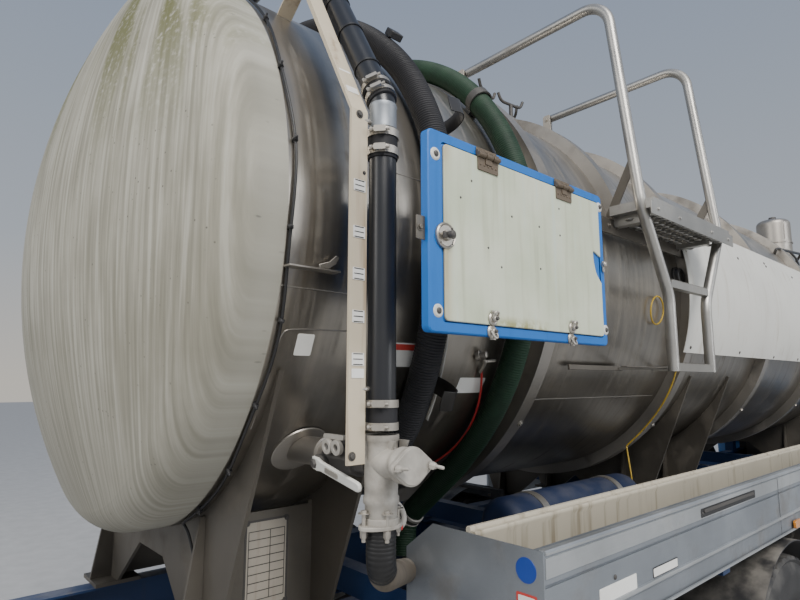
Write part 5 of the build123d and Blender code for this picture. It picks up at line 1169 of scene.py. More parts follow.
fixed(
    "ladder_teeth", ladder_steel,
    *(
        saw(at(low, y, z), high - low, 0.005, 0.011, 0.006)
        for low, high, z in ((1.725, 2.055, -0.38), (1.715, 2.085, -0.035)) for y in (-1.088, -1.098, -1.108)
    )
)
platform_spots = [
    (x + (0.012 if row % 2 else -0.012), y) for row, y in enumerate((-1.12, -1.075, -1.03, -0.985))
    for x in np.linspace(1.555, 2.245, 15)
]
PLATFORM_LOW, PLATFORM_TOP = 0.21, 0.25
low_lip = [(0, 0.0125), (0.006, 0.0125), (0.002, 0.0185), (0, 0.0185)]
top_lip = [(0, 0.0125), (0.005, 0.0125), (0.002, 0.0185), (0, 0.0185)]
fixed(
    "platform_rings", ladder_steel,
    *(hoop(at(x, y, PLATFORM_LOW), -UP, low_lip, 14) for x, y in platform_spots),
    *(hoop(at(x, y, PLATFORM_TOP), UP, top_lip, 14) for x, y in platform_spots)
)
# Painted shade: black discs close the platform's holes and stand in for the shade seen through them
fixed(
    "platform_holes_painted_shade", black_ink_and_shade,
    *(
        disc(at(x, y, level), way, 0.0122, 0.0012, 14) for x, y in platform_spots
        for level, way in ((PLATFORM_LOW, -UP), (PLATFORM_TOP, UP))
    )
)
fixed(
    "platform_flange", ladder_steel, block(at(1.47, -1.1545, 0.196), at(2.33, -1.1505, 0.252)),
    *(bolt(at(x, -1.1545, 0.224), OUT, 0.013) for x in (1.53, 1.73, 2.07, 2.27)), bevel=0.0015
)
fixed(
    "platform_back_bar", saddle_steel, block(at(1.42, -0.962, 0.158), at(2.30, -0.952, 0.222)),
    *(bolt(at(x, -0.962, 0.19), OUT, 0.018) for x in (1.5, 1.56, 2.16, 2.24)), bevel=0.002
)


def flat_bar(start, end, width, thick, face):
    """A flat bar between two points; its broad side looks towards the face direction."""
    way = unit(end - start)
    out = unit(face - np.dot(face, way) * way)
    across = np.cross(out, way)
    outline = rounded_outline(float(np.linalg.norm(end - start)) + width * 0.6, width, width * 0.45, 5)
    return prism(outline, (start + end) / 2 - out * thick / 2, way, across, thick)


fixed(
    "ladder_braces", saddle_steel,
    *(
        flat_bar(at(top, -1.08, 0.45), at(foot, -0.955, 0.235), 0.038, 0.006, ALONG_X)
        for top, foot in ((1.502, 1.522), (2.298, 2.278))
    ), *(bolt(at(foot - 0.003, -0.96, 0.245), -ALONG_X, 0.015) for foot in (1.522, 2.278)), bevel=0.0015
)
fixed(
    "ladder_foot_stay", saddle_steel, block(at(1.3, -0.872, -0.405), at(1.72, -0.862, -0.385)),
    block(at(1.35, -1.08, -0.3985), at(1.70, -1.055, -0.3945)), bevel=0.0015
)
handrail_plates = []
for x in (1.5, 2.3):
    handrail_plates.append(slab(0.05, 0.30, 0.012, at(x - 0.028, -0.175, 1.06), -0.006, LEFT))
    handrail_plates += [bolt(at(x - 0.034, -0.175, z), -ALONG_X, 0.016) for z in (0.96, 1.11, 1.18)]
fixed("handrail_clamps", dusty_steel, *handrail_plates, bevel=0.001)
fixed(
    "barrel_plug", oily_black,
    turned(
        at(2.2, -0.915, 0.06), unit([0, -1, 0.065]),
        [(0, 0.052), (0.022, 0.052), (0.024, 0.044), (0.04, 0.042), (0.042, 0.03), (0.036, 0.026)], 36
    ), bevel=0.001
)

# Cables on the rings and the barrel
loop_turn = np.radians(np.linspace(-20, 340, 40))
LOOP_RADIUS, LOOP_LIFT = 0.064, 0.014
loop_angle = np.radians(-7.6) + LOOP_RADIUS * np.sin(loop_turn) / TANK_RADIUS
loop_reach = TANK_RADIUS + LOOP_LIFT
yellow_loop = at(
    1.95 + LOOP_RADIUS * np.cos(loop_turn), -loop_reach * np.cos(loop_angle), loop_reach * np.sin(loop_angle)
)
ring_wire = wound(
    (-6, -14, -24, -34, -44, -52), (2.06, 2.16, 2.215, 2.23, 2.23, 2.22),
    (0.014, 0.03, 0.052, 0.058, 0.058, 0.062)
)
drop = rounded([ring_wire[-1], at(2.2, -0.63, -0.86), at(2.17, -0.655, -0.93), at(2.19, -0.65, -1.02)], 0.05)
fixed(
    "yellow_cable", cable_yellow, tube(yellow_loop, CABLE_RADIUS, 8),
    tube(even(np.concatenate([ring_wire, drop[1:]]), 0.012), CABLE_RADIUS, 8)
)
fixed(
    "ring_bolts", zinc,
    *(
        bolt(on_tank(x, angle, RING_OUTER - TANK_RADIUS), off_tank(angle), 0.017)
        for x, angle in ((1.1, -38), (2.29, -43), (3.48, -40), (4.67, -40))
    ), bevel=0.0006
)
panel_spots = (
    (2.244, 14.1), (3.03, 16.1), (3.557, 18.8), (3.57, 17.6), (4.133, 17.3), (5.2, 18.5), (2.265, -16.7),
    (2.94, -16.8), (3.556, -17.4), (4.082, -17.4), (5.2, -17.4)
)
rivets = [
    rivet(on_tank(x, angle, 0.0592) * [1, side, 1], off_tank(angle) * [1, side, 1], 0.009)
    for x, angle in panel_spots for side in (1, -1)
]
fixed("panel_rivets", oily_iron, *rivets)

# Manhole lid: pressed crown and swing clamps
lid_x, lid_top = 1.78, 1.02
clamps = []
for dx, dy, lean in ((-0.14, -0.215, 0.25), (0.06, -0.222, -0.1), (0.225, -0.11, 0.9)):
    place = at(lid_x + dx, dy, lid_top)
    way = np.array([math.cos(lean), math.sin(lean), 0.0])
    clamps.append(
        turned(place - UP * 0.004, UP, [(0, 0.02), (0.012, 0.02), (0.014, 0.012), (0.1, 0.011)], 16)
    )
    bar_line = [
        place + way * reach + UP * height
        for reach, height in ((-0.1, 0.145), (-0.078, 0.1), (0.078, 0.1), (0.1, 0.145))
    ]
    clamps.append(bent(bar_line, 0.03, 0.0085, 12))
piece("lid_clamps", "man_lid", oily_iron, *clamps, sharp=50)
piece(
    "lid_crown", "man_lid", stainless,
    turned(
        at(lid_x, 0, lid_top - 0.001), UP,
        [(0, 0.205), (0.004, 0.203), (0.016, 0.185), (0.022, 0.12), (0.024, 0.02)], 56
    )
)

# Float pot: seam, upper flange and the handrail bar beside it
pot_x, pot_y = 5.35, -0.54
seam_way = unit([-0.62, -0.78, 0.0])
fixed(
    "pot_seam", stainless,
    tube(
        np.stack([at(pot_x, pot_y, z) + seam_way * 0.1355 for z in np.linspace(0.83, 0.985, 20)]), 0.0035, 8
    ), hoop(at(pot_x, pot_y, 0.80), UP, [(0, 0.134), (0, 0.142), (0.01, 0.142), (0.012, 0.1355)], 48)
)
fixed(
    "pot_top_fitting", oily_iron,
    turned(
        at(pot_x, pot_y, 1.028), UP, [(0, 0.05), (0.012, 0.05), (0.014, 0.032), (0.035, 0.03), (0.038, 0.02)],
        24
    ), *(bolt(at(pot_x + dx, pot_y + dy, 1.04), UP, 0.01) for dx, dy in circle(0.04, (0.5, 2.07, 3.64, 5.21)))
)
bar_points = [on_tank(4.56, 37.5), at(4.54, -0.76, 0.605), at(5.25, -0.76, 0.665), on_tank(5.28, 40.5)]
fixed(
    "pot_side_bar", oily_black, bent(bar_points, 0.04, 0.011, 12),
    bent([at(4.9, -0.76, 0.636), at(5.05, -0.765, 0.6), on_tank(5.2, 37.0, 0.002)], 0.05, 0.009, 10)
)

# Trays: extruded edges, handle recess, signs
tray_start, tray_length = 0.552, 4.946


def along_tray(*outline):
    """An extruded section of (outwards from the middle, height) pairs along both trays."""
    shapes = []
    for side in (1, -1):
        section = np.asarray(outline, float) * [side, 1]
        shapes.append(prism(section, at(tray_start, 0, 0), LEFT, UP, tray_length))
    return join(*shapes)


fixed(
    "tray_edges", tray_edge_painted_highlight,
    along_tray((1.232, -0.872), (1.2545, -0.872), (1.2555, -0.866), (1.25, -0.861), (1.234, -0.861)),
    along_tray((1.2495, -0.878), (1.2525, -0.879), (1.2525, -0.927), (1.2495, -0.928)),
    along_tray((1.2495, -1.044), (1.2555, -1.046), (1.2565, -1.051), (1.2555, -1.056), (1.2495, -1.058)),
    along_tray((1.2495, -1.12), (1.2545, -1.121), (1.2555, -1.128), (1.2495, -1.13))
)
fixed(
    "tray_liner", liner_cream,
    along_tray(
        (0.994, -0.863), (0.994, -0.852), (0.998, -0.848), (1.008, -0.848), (1.010, -0.852), (1.010, -0.863)
    ),
    along_tray(
        (1.012, -0.866), (1.012, -0.858), (1.026, -0.858), (1.028, -0.862), (1.028, -0.87), (1.0215, -0.885),
        (1.0215, -1.118), (1.0163, -1.118), (1.0163, -0.866)
    )
)
# Painted shade: a black sheet in the handle recess and a black strip at the tray's joint stand in for their
# shade
fixed(
    "tray_handle_recess_painted_shade", black_ink_and_shade, slab(0.55, 0.03, 0.006, at(1.755, -1.2524, -0.9075), 0.0012),
    block(at(2.3255, -1.2524, -1.12), at(2.3285, -1.2532, -0.88))
)
fixed(
    "tray_handle", oily_iron, slab(0.50, 0.012, 0.005, at(1.755, -1.2532, -0.9025), 0.004),
    *(rivet(at(x, -1.2525, -0.9085), OUT, 0.006) for x in (1.495, 2.015)),
    rivet(at(0.88, -1.2505, -0.99), OUT, 0.008), bevel=0.0008
)


def sign(name, place, across, up, width, height, rim, face, margin=0.004, corner=0.004):
    """A blank plate: its rim colour shows as a border round the face."""
    out = np.cross(across, up)
    rim_depth = 0.0008
    fixed(name + "_rim", rim, slab(width, height, corner, place, rim_depth, across, up))
    inner = (width - 2 * margin, height - 2 * margin, corner * 0.6)
    fixed(name + "_face", face, slab(*inner, place + out * rim_depth, 0.0005, across, up))


sign("tray_label_plain", at(0.897, -1.2505, -1.03), ALONG_X, UP, 0.207, 0.052, label_white, label_white)
sign(
    "tray_label_bordered", at(1.191, -1.2505, -1.027), ALONG_X, UP, 0.172, 0.03, black_ink_and_shade, label_white, 0.003
)
sign("end_plate_sign", at(0.5445, -1.198, -1.008), LEFT, -UP, 0.062, 0.074, label_red, label_white, 0.006)
fixed(
    "end_plate_disc", label_blue,
    turned(at(0.5448, -1.198, -0.916), -ALONG_X, [(0, 0.031), (0.0012, 0.0305)], 40)
)
sign(
    "saddle_data_plate", at(0.245, -0.4388, -1.005), ALONG_X, UP, 0.15, 0.26, oily_iron, data_plate, 0.007,
    0.006
)
fixed(
    "saddle_plate_lines", oily_iron,
    *(block(at(0.182, -0.4406, z), at(0.308, -0.4402, z + 0.0025)) for z in np.linspace(-1.11, -0.91, 9)),
    *(block(at(x, -0.4406, -1.11), at(x + 0.0025, -0.4402, -0.91)) for x in (0.182, 0.255, 0.3055)),
    *(bolt(at(x, -0.4385, z), OUT, 0.014) for x in (0.178, 0.312) for z in (-0.883, -1.128))
)

# Wheels: tyres with ribs, blocks and raised sidewall rings; rims with nuts, hand holes and hub caps
TYRE_RADIUS, TYRE_HALF = 0.505, 0.1425
BEAD_RADIUS, BEAD_HALF = 0.3, 0.115
SHOULDER_RADIUS, SHOULDER_HALF = 0.485, 0.1335
TREAD_HALF = 0.124
GROOVE_HALF = 0.0062
EIGHT_ANGLES = np.arange(8) * math.pi / 4


def tyre(x, y, turns=176):
    """A closed tyre section carried round the axle.

    Radius over the tread = outer radius - 0.006 * (|y| / half)^4 - the depth of the grooves round it, or of
    the slots between them where sin(44 * angle + 26 * |y|) > 0.75. The side bulges as sin(pi * share)^0.7.
    """
    side = np.linspace(0, 1, 15)
    bulge = np.sin(np.pi * np.clip(side * 1.05, 0, 1)) ** 0.7
    wall_y = np.minimum(BEAD_HALF + (TYRE_HALF - BEAD_HALF) * bulge + 0.006 * side, TYRE_HALF)
    wall_r = BEAD_RADIUS + (SHOULDER_RADIUS - BEAD_RADIUS) * side
    ring = 0.0022 * ((np.abs(side - 0.3) < 0.05) | (np.abs(side - 0.72) < 0.05))
    wall_y = np.minimum(wall_y + ring, TYRE_HALF)
    wall_y[-1] = SHOULDER_HALF
    tread_y = np.linspace(TREAD_HALF, -TREAD_HALF, 41)
    tread_r = TYRE_RADIUS - 0.006 * (np.abs(tread_y) / TREAD_HALF) ** 4
    section_y = np.concatenate([wall_y, tread_y, -wall_y[::-1]])
    section_r = np.concatenate([wall_r, tread_r, wall_r[::-1]])
    angle = np.linspace(0, 2 * np.pi, turns, endpoint=False)[:, None]
    number = np.arange(len(section_y))
    on_tread = (number >= len(side)) & (number < len(side) + len(tread_y))
    off_middle = np.abs(section_y)
    grooves = np.min(np.abs(off_middle - np.array([[0.0], [0.028], [0.078]])), axis=0) < GROOVE_HALF
    slots = np.sin(44 * angle + 26 * off_middle[None]) > 0.75
    slot_depth = np.where(off_middle[None] > 0.084, 0.010, 0.005)
    radius = section_r[None] - on_tread * np.where(grooves, 0.012, slots * slot_depth)
    points = np.stack(
        np.broadcast_arrays(x + radius * np.cos(angle), y + section_y[None], AXLE_Z + radius * np.sin(angle)),
        axis=-1
    )
    return grid(points, wrap_rows=True, wrap_columns=True)


def wheel_face(x, disc_y, out, nuts=10, holes=8):
    """Nuts, hand-hole lips and black discs of painted shade in the hand holes on a wheel's disc, whose outer
    face is at disc_y and looks out.
    """
    way = LEFT * out
    nut = [(0, 0.0185), (0.003, 0.0185), (0.0035, 0.0155), (0.022, 0.0155), (0.027, 0.009), (0.034, 0.008)]
    lip = [(0, 0.027), (0.006, 0.029), (0.006, 0.033), (0, 0.036)]

    def spots(count, radius):
        return [
            (x + dx, disc_y, AXLE_Z + dz) for dx, dz in circle(radius, np.arange(count) * 2 * np.pi / count)
        ]

    bright = [turned(place, way, nut, 6) for place in spots(nuts, 0.1525)]
    bright += [hoop(place, way, lip, 22) for place in spots(holes, 0.225)]
    # Painted shade: thin black discs stand in for the shade seen through the hand holes
    dark = [disc(place, way, 0.0268, 0.0015, 22) for place in spots(holes, 0.225)]
    return bright, dark


def wheel(name, body, x, tyres, disc_y, out, hub_y, hub_depth):
    """Tyres, rim fittings and hub cap of one wheel or twin."""
    node = ("rear_tyres" if len(tyres) > 1 else "front_tyre") + name[name.index("_") :]
    piece(f"tyre_{name}", body, tyre_rubber, *(tyre(x, y) for y in tyres), sharp=28, replaces=(node,))
    way = LEFT * out
    bright, dark = wheel_face(x, disc_y, out)
    cap = [
        (0, 0.112), (hub_depth * 0.4, 0.108), (hub_depth * 0.55, 0.085), (hub_depth * 0.9, 0.08),
        (hub_depth, 0.06)
    ]
    bright.append(turned((x, hub_y, AXLE_Z), way, cap, 40))
    for dx, dz in circle(0.097, EIGHT_ANGLES):
        bright.append(bolt((x + dx, hub_y + out * hub_depth * 0.42, AXLE_Z + dz), way, 0.012))
    lip = [(-0.012, 0.288), (0, 0.289), (0.0005, 0.3), (-0.004, 0.303), (-0.008, 0.2985)]
    bright.append(hoop((x, tyres[0] + out * 0.1145, AXLE_Z), way, lip, 72))
    piece(f"rim_fittings_{name}", body, rim_silver, *bright, sharp=30)
    piece(f"rim_holes_painted_shade_{name}", body, black_ink_and_shade, *dark)
    valve = [
        (x + step, disc_y + out * rise, AXLE_Z + step)
        for step, rise in ((0.2, 0), (0.2, 0.03), (0.17, 0.045))
    ]
    piece(f"rim_valve_{name}", body, zinc, bent(valve, 0.02, 0.004, 8))


for side, out in (("left", 1), ("right", -1)):
    wheel(f"front_{side}", f"front_wheel_{side}", 3.08, (out * 1.06,), out * 1.1282, out, out * 1.176, 0.018)
    for axle, x in (("fore", -1.5), ("aft", -2.87)):
        wheel(
            f"rear_{axle}_{side}", f"rear_wheels_{axle}_{side}", x, (out * 1.095, out * 0.77), out * 0.9487,
            out, out * 1.121, 0.06
        )

# Lamps: headlamp bowls and lenses in the bumper, three-part lamps on the rear beam
HEADLAMP_Y, HEADLAMP_Z, BEAM_LAMP_Z = 0.85, 0.6, 0.595
bowls, lenses, ambers, reds, clears, housings = [], [], [], [], [], []
for side in (1, -1):
    for offset, radius in ((0.085, 0.076), (-0.07, 0.07)):
        place = np.array([4.4215, side * (HEADLAMP_Y - offset), HEADLAMP_Z])
        bowl = [(0, 0.02), (0.004, radius * 0.6), (0.012, radius * 0.9), (0.022, radius)]
        bowl += [(0.0225, radius + 0.005), (0.0, radius + 0.006)]
        bowls.append(turned(place, ALONG_X, bowl, 40))
        bowls.append(turned(place + ALONG_X * 0.002, ALONG_X, [(0, 0.018), (0.01, 0.017), (0.018, 0.01)], 16))
    housings.append(slab(0.383, 0.183, 0.02, (4.4205, side * HEADLAMP_Y, HEADLAMP_Z), 0.002, LEFT))
    ribs_y = np.linspace(-0.188, 0.188, 60)
    lens = np.stack([[ribs_y, np.full(60, level)] for level in np.linspace(-0.088, 0.088, 9)])
    swell = 0.0045 * (1 - (lens[:, 0] / 0.19) ** 6) * (1 - (lens[:, 1] / 0.09) ** 6)
    swell += 4.4445 + 0.0006 * np.sin(lens[:, 0] * 420)
    front_face = np.stack([swell, side * HEADLAMP_Y + lens[:, 0], HEADLAMP_Z + lens[:, 1]], axis=-1)
    back_face = front_face * [0, 1, 1] + [4.4425, 0, 0]
    lenses.append(grid(np.concatenate([front_face, back_face[::-1]]), wrap_rows=True))
    ambers.append(slab(0.05, 0.12, 0.012, (4.425, side * 1.015, HEADLAMP_Z), 0.012, LEFT))
    housings.append(slab(0.32, 0.12, 0.012, (-4.37, side * 0.95, BEAM_LAMP_Z), 0.045, OUT))
    for group, low, high in ((reds, 0.79, 0.95), (ambers, 0.955, 1.035), (clears, 1.04, 1.105)):
        middle = (low + high) / 2
        group.append(slab(high - low - 0.01, 0.104, 0.01, (-4.415, side * middle, BEAM_LAMP_Z), 0.012, OUT))
        group += [
            slab(high - low - 0.018, 0.004, 0.0015, (-4.427, side * middle, BEAM_LAMP_Z + rise), 0.0015, OUT)
            for rise in np.linspace(-0.04, 0.04, 6)
        ]
fixed("lamp_housings", trim_black, *housings, bevel=0.002, replaces=("lamps",))
fixed("headlamp_bowls", mirror_glass, *bowls)
fixed("headlamp_lenses", lamp_clear, *lenses)
fixed("lamp_ambers", lamp_amber, *ambers, bevel=0.0015)
fixed("lamp_reds", lamp_red, *reds, bevel=0.0015)
fixed("lamp_clears", lamp_clear, *clears, bevel=0.0015)
side_lamps = [
    slab(0.09, 0.035, 0.01, (x, side * 1.2502, 1.145), 0.012, (-side, 0, 0)) for side in (1, -1)
    for x in (-3.2, -1.4, 0.4, 1.4)
]
fixed("side_marker_lamps", lamp_amber, *side_lamps, bevel=0.002)

# Cab: grille slats, wipers, handles, steps, visor, mirrors' glass
slats = []
for level in 1.05 + 0.11 * np.arange(4):
    slats += [
        slab(1.48, 0.009, 0.003, (4.3505, 0, level + rise), 0.012, LEFT) for rise in (-0.0135, 0.0, 0.0135)
    ]
    slats += [
        block((4.3503, y - 0.004, level - 0.024), (4.358, y + 0.004, level + 0.024))
        for y in np.linspace(-0.6, 0.6, 7)
    ]
piece("grille_slats", "cab", trim_black, *slats, bevel=0.001)
screen_way = unit([-0.223, 0.0, 0.811])
screen_out = unit([0.811, 0.0, 0.223])


def on_screen(y, reach, proud=0.0):
    """Point on the windscreen: reach up its slope from the lower edge."""
    return np.array([4.283, y, 1.975]) + screen_way * reach + screen_out * proud


arms, blades = [], []
for root, tip in ((-0.18, -0.78), (0.72, 0.1)):
    start = on_screen(root, -0.05, 0.035)
    end = on_screen((root + tip) / 2 + (tip - root) * 0.18, 0.22, 0.03)
    arms.append(bent([start, (start + end) / 2 + screen_out * 0.012, end], 0.1, 0.007, 10, squash=0.6))
    arms.append(
        turned(start - screen_out * 0.03, screen_out, [(0, 0.022), (0.026, 0.02), (0.036, 0.012)], 20)
    )
    near_end, far_end = on_screen(root + (tip - root) * 0.15, 0.1, 0.017), on_screen(tip, 0.36, 0.017)
    blades.append(flat_bar(near_end, far_end, 0.012, 0.012, screen_out))
    back_ends = [near_end * share + far_end * (1 - share) + screen_out * 0.01 for share in (0.7, 0.3)]
    blades.append(flat_bar(*back_ends, 0.014, 0.008, screen_out))
piece("wiper_arms", "cab", trim_black, *arms)
piece("wiper_blades", "cab", trim_black, *blades, bevel=0.001)
screen_spots = ((-1.03, 0.01), (1.03, 0.01), (1.03, 0.825), (-1.03, 0.825), (-1.03, 0.01), (-0.9, 0.01))
screen_edge = [on_screen(y, reach, 0.004) for y, reach in screen_spots]
piece("screen_seal", "cab", trim_black, bent(screen_edge, 0.05, 0.011, 8, squash=0.7))
DOOR_FACE = 1.153
piece(
    "cab_visor", "cab", trim_black,
    prism([(0, 0), (0.12, -0.02), (0.125, -0.012), (0.0, 0.016)], (4.085, -0.98, 2.86), ALONG_X, UP, -1.96),
    bevel=0.003
)
piece(
    "front_panel_trim", "cab", beam_black, slab(1.9, 0.03, 0.01, (4.3705, 0, 1.62), 0.006, LEFT),
    *(slab(0.09, 0.028, 0.008, (4.3705, y, 0.87), 0.008, LEFT) for y in (-0.7, 0.7)), bevel=0.002
)
for side, out in (("left", 1), ("right", -1)):
    door, face, way = f"cab_door_{side}", (-out, 0, 0), LEFT * out
    cup = slab(0.17, 0.075, 0.018, (3.3, out * 1.1505, 1.82), 0.004, face)
    grip_spots = ((3.235, 1.152), (3.245, 1.176), (3.355, 1.176), (3.365, 1.152))
    grip = bent([(x, out * y, 1.83) for x, y in grip_spots], 0.018, 0.009, 10, squash=0.7)
    lock = turned((3.3, out * DOOR_FACE, 1.798), way, [(0, 0.011), (0.004, 0.011), (0.005, 0.007)], 20)
    piece(f"door_handle_{side}", door, trim_black, cup, grip, lock, bevel=0.0015)
    seal_spots = ((3.27, 1.965), (4.07, 1.965), (3.98, 2.675), (3.27, 2.675), (3.27, 1.965), (3.4, 1.965))
    seal = bent([(x, out * DOOR_FACE, z) for x, z in seal_spots], 0.04, 0.009, 8, squash=0.6)
    piece(f"door_window_seal_{side}", door, trim_black, seal)
    strip = slab(0.86, 0.045, 0.01, (3.66, out * 1.1505, 1.32), 0.008, face)
    piece(f"door_trim_strip_{side}", door, trim_black, strip, bevel=0.002)
piece(
    "mirror_faces", "cab", mirror_glass,
    *(
        slab(0.15, tall, 0.02, (4.3035, side * 1.31, z), 0.002, OUT)
        for tall, z in ((0.24, 2.41), (0.11, 2.215)) for side in (1, -1)
    ), bevel=0.0006
)
fixed(
    "step_treads", ladder_steel,
    *(
        saw((3.73, side * 1.11 + dy, level), 0.32, 0.008, 0.012, 0.006) for side in (1, -1)
        for level in (0.415, 0.695) for dy in (-0.06, -0.02, 0.02, 0.06)
    )
)

# Seats: padded cushions and backs on their pedestals


def pad(low, high, lean=0.0, crown=0.018, steps=34):
    """A crowned closed cushion between two corners.

    It is a superellipsoid: each direction's sine or cosine is raised to a power below one, which squares it,
    and the middle swells by the crown. Points lean along the truck with their height.
    """
    low, high = np.asarray(low, float), np.asarray(high, float)
    middle, half = (low + high) / 2, (high - low) / 2
    across = np.linspace(-np.pi / 2, np.pi / 2, steps)[1:-1, None]
    round_turn = np.linspace(-np.pi, np.pi, 2 * steps, endpoint=False)[None, :]

    def squared(wave, power):
        return np.sign(wave) * np.abs(wave) ** power

    x = squared(np.cos(across), 0.28) * squared(np.cos(round_turn), 0.28)
    y = squared(np.cos(across), 0.28) * squared(np.sin(round_turn), 0.28)
    z = squared(np.sin(across), 0.42) * np.ones_like(round_turn)
    points = middle + np.stack([x, y, z], axis=-1) * (half - crown * 0.6)
    points[..., 2] += crown * 0.6 * np.sign(z) * (1 - x**2) * (1 - y**2)
    points[..., 0] += lean * (points[..., 2] - low[2])
    return capped(grid(points, wrap_columns=True), 2 * steps)


def inflate(made, cap):
    """Swell a pad with cloth pressure, where no point moves further than the cap, and keep that mesh."""
    remesh = made.modifiers.new("even", "REMESH")
    remesh.mode = "VOXEL"
    remesh.voxel_size = 0.012
    bpy.context.view_layer.update()
    settled = bpy.data.meshes.new_from_object(made.evaluated_get(bpy.context.evaluated_depsgraph_get()))
    made.modifiers.remove(remesh)
    made.data = settled
    count = len(settled.vertices)
    before = np.empty(count * 3)
    settled.vertices.foreach_get("co", before)
    cloth = made.modifiers.new("pressure", "CLOTH")
    cloth.settings.use_pressure = True
    cloth.settings.uniform_pressure_force = 4.0
    cloth.settings.effector_weights.gravity = 0.0
    cloth.settings.quality = 4
    for number in range(1, 21):
        bpy.context.scene.frame_set(number)
    swollen = bpy.data.meshes.new_from_object(made.evaluated_get(bpy.context.evaluated_depsgraph_get()))
    made.modifiers.remove(cloth)
    bpy.context.scene.frame_set(1)
    after = np.empty(count * 3)
    swollen.vertices.foreach_get("co", after)
    bpy.data.meshes.remove(swollen)
    move = (after - before).reshape(-1, 3)
    length = np.linalg.norm(move, axis=1, keepdims=True)
    move *= np.minimum(1.0, cap / np.maximum(length, 1e-9))
    settled.vertices.foreach_set("co", (before.reshape(-1, 3) + move).ravel())
    settled.shade_smooth()
    made.data.update()


seam_lines = []
for side, out in (("left", 1), ("right", -1)):
    y = out * 0.6
    cushions = (
        ("seat_cushion", pad((2.985, y - 0.24, 1.495), (3.385, y + 0.24, 1.625))),
        ("seat_back", pad((2.885, y - 0.235, 1.60), (2.985, y + 0.235, 2.12), -0.12, 0.03)),
        ("seat_headrest", pad((2.86, y - 0.13, 2.135), (2.93, y + 0.13, 2.28), -0.05, 0.02, 22))
    )
    for label, shape in cushions:
        nodes = ("seats",) if label == "seat_cushion" else ()
        made = piece(f"{label}_{side}", "cab", seat_cloth, shape, sharp=70, replaces=nodes)
        inflate(made, 0.008)
        made.modifiers.new("soft", "SUBSURF").levels = 1
        made.modifiers["soft"].render_levels = 1
    for level in (0.35, 0.65):
        line = [(x, y + (level - 0.5) * 0.42, 1.628) for x in (3.03, 3.2, 3.36)]
        seam_lines.append(bent(line, 0.05, 0.0028, 6))
    stand = [
        slab(0.34, 0.28, 0.03, (3.14, y, 1.2105), 0.03, ALONG_X, LEFT),
        slab(0.22, 0.2, 0.03, (3.14, y, 1.24), 0.2, ALONG_X, LEFT),
        slab(0.38, 0.42, 0.03, (3.16, y, 1.44), 0.05, ALONG_X, LEFT),
        *(bent([(2.86, y + dy, 2.06), (2.85, y + dy, 2.18)], 0.01, 0.006, 10) for dy in (-0.06, 0.06))
    ]
    piece(f"seat_stand_{side}", "cab", trim_black, *stand, bevel=0.004)
piece("seat_piping", "cab", trim_black, *seam_lines)

# Dashboard: dials, switches, vents and the steering column's stalks
dials = []
faces = []
face_way = unit([-0.27, 0.0, 0.09])
for y, radius in ((0.50, 0.052), (0.62, 0.052), (0.72, 0.03), (0.40, 0.03)):
    spot = np.array([4.017, y, 1.93])
    dials.append(
        hoop(spot, face_way, [(0, radius), (0.008, radius), (0.01, radius + 0.006), (0, radius + 0.009)], 36)
    )
    faces.append(disc(spot, face_way, radius, 0.002, 36))
switches = [
    slab(0.024, 0.036, 0.004, (4.0, y, 1.885), 0.009, OUT, unit([0.3, 0, 1]))
    for y in np.concatenate([np.linspace(-0.15, 0.2, 8), np.linspace(-0.75, -0.45, 5)])
]
vents = [
    slab(0.15, 0.006, 0.002, (3.999, y, level), 0.006, OUT) for y in (0.93, -0.25, -0.93)
    for level in (1.80, 1.815, 1.83, 1.845)
]
stalks = [
    bent([(3.86, 0.6, 1.72), (3.84, 0.6 + dy, 1.735), (3.83, 0.6 + 2.2 * dy, 1.75)], 0.05, 0.007, 10)
    for dy in (-0.08, 0.08)
]
piece("dash_dial_rings", "cab", zinc, *dials)
piece("dash_dial_faces", "cab", black_ink_and_shade, *faces)
piece("dash_switches", "cab", trim_black, *switches, *vents, *stalks, bevel=0.001)

# Chassis fittings: tank straps and cap, battery cover, pump ribs, propeller shafts, mudflaps, air lines


def strap(x, y, z, width, height, across=0.05, thick=0.003, corner=0.03):
    """A steel band round a box on the chassis, in the plane across the truck."""
    inner = rounded_outline(width, height, corner, 5)
    outer = rounded_outline(width + 2 * thick, height + 2 * thick, corner + thick, 5)
    rings = [
        np.stack([np.full(len(line), x + dx), y + line[:, 0], z + line[:, 1]], axis=1)
        for line, dx in ((inner, -across / 2), (outer, -across / 2), (outer, across / 2), (inner, across / 2))
    ]
    return grid(np.stack(rings), wrap_rows=True, wrap_columns=True)


fixed(
    "fuel_tank_straps", zinc, *(strap(x, 0.77, 0.76, 0.6815, 0.5215) for x in (1.0, 1.35, 1.7)), bevel=0.0008
)
fixed(
    "fuel_cap", trim_black,
    turned(
        (1.82, 0.98, 1.0195), UP,
        [(0, 0.05), (0.02, 0.05), (0.022, 0.042), (0.03, 0.044), (0.05, 0.043), (0.054, 0.036)], 12
    ), bevel=0.002
)
cover = [
    slab(0.572, 0.66, 0.02, (1.8, -0.755, 0.955), 0.018, ALONG_X, LEFT),
    *(slab(0.05, 0.30, 0.02, (1.66 + dx, -1.0815, 0.76), 0.008) for dx in (0.0, 0.28)),
    bent(
        [(1.72, -1.084, 0.9), (1.72, -1.105, 0.9), (1.88, -1.105, 0.9), (1.88, -1.084, 0.9)], 0.02, 0.008, 10
    )
]
fixed("battery_cover", trim_black, *cover, bevel=0.003)
PUMP_END, PUMP_Y, PUMP_Z = 0.2795, -0.72, 0.74
ribs = [
    band((x + 0.004, PUMP_Y, PUMP_Z), ALONG_X, 0.168, 0.178, 0.004, 56) for x in np.linspace(0.33, 0.66, 12)
]
end_profile = [(0, 0.15), (0.01, 0.148), (0.014, 0.07), (0.04, 0.06), (0.045, 0.03)]
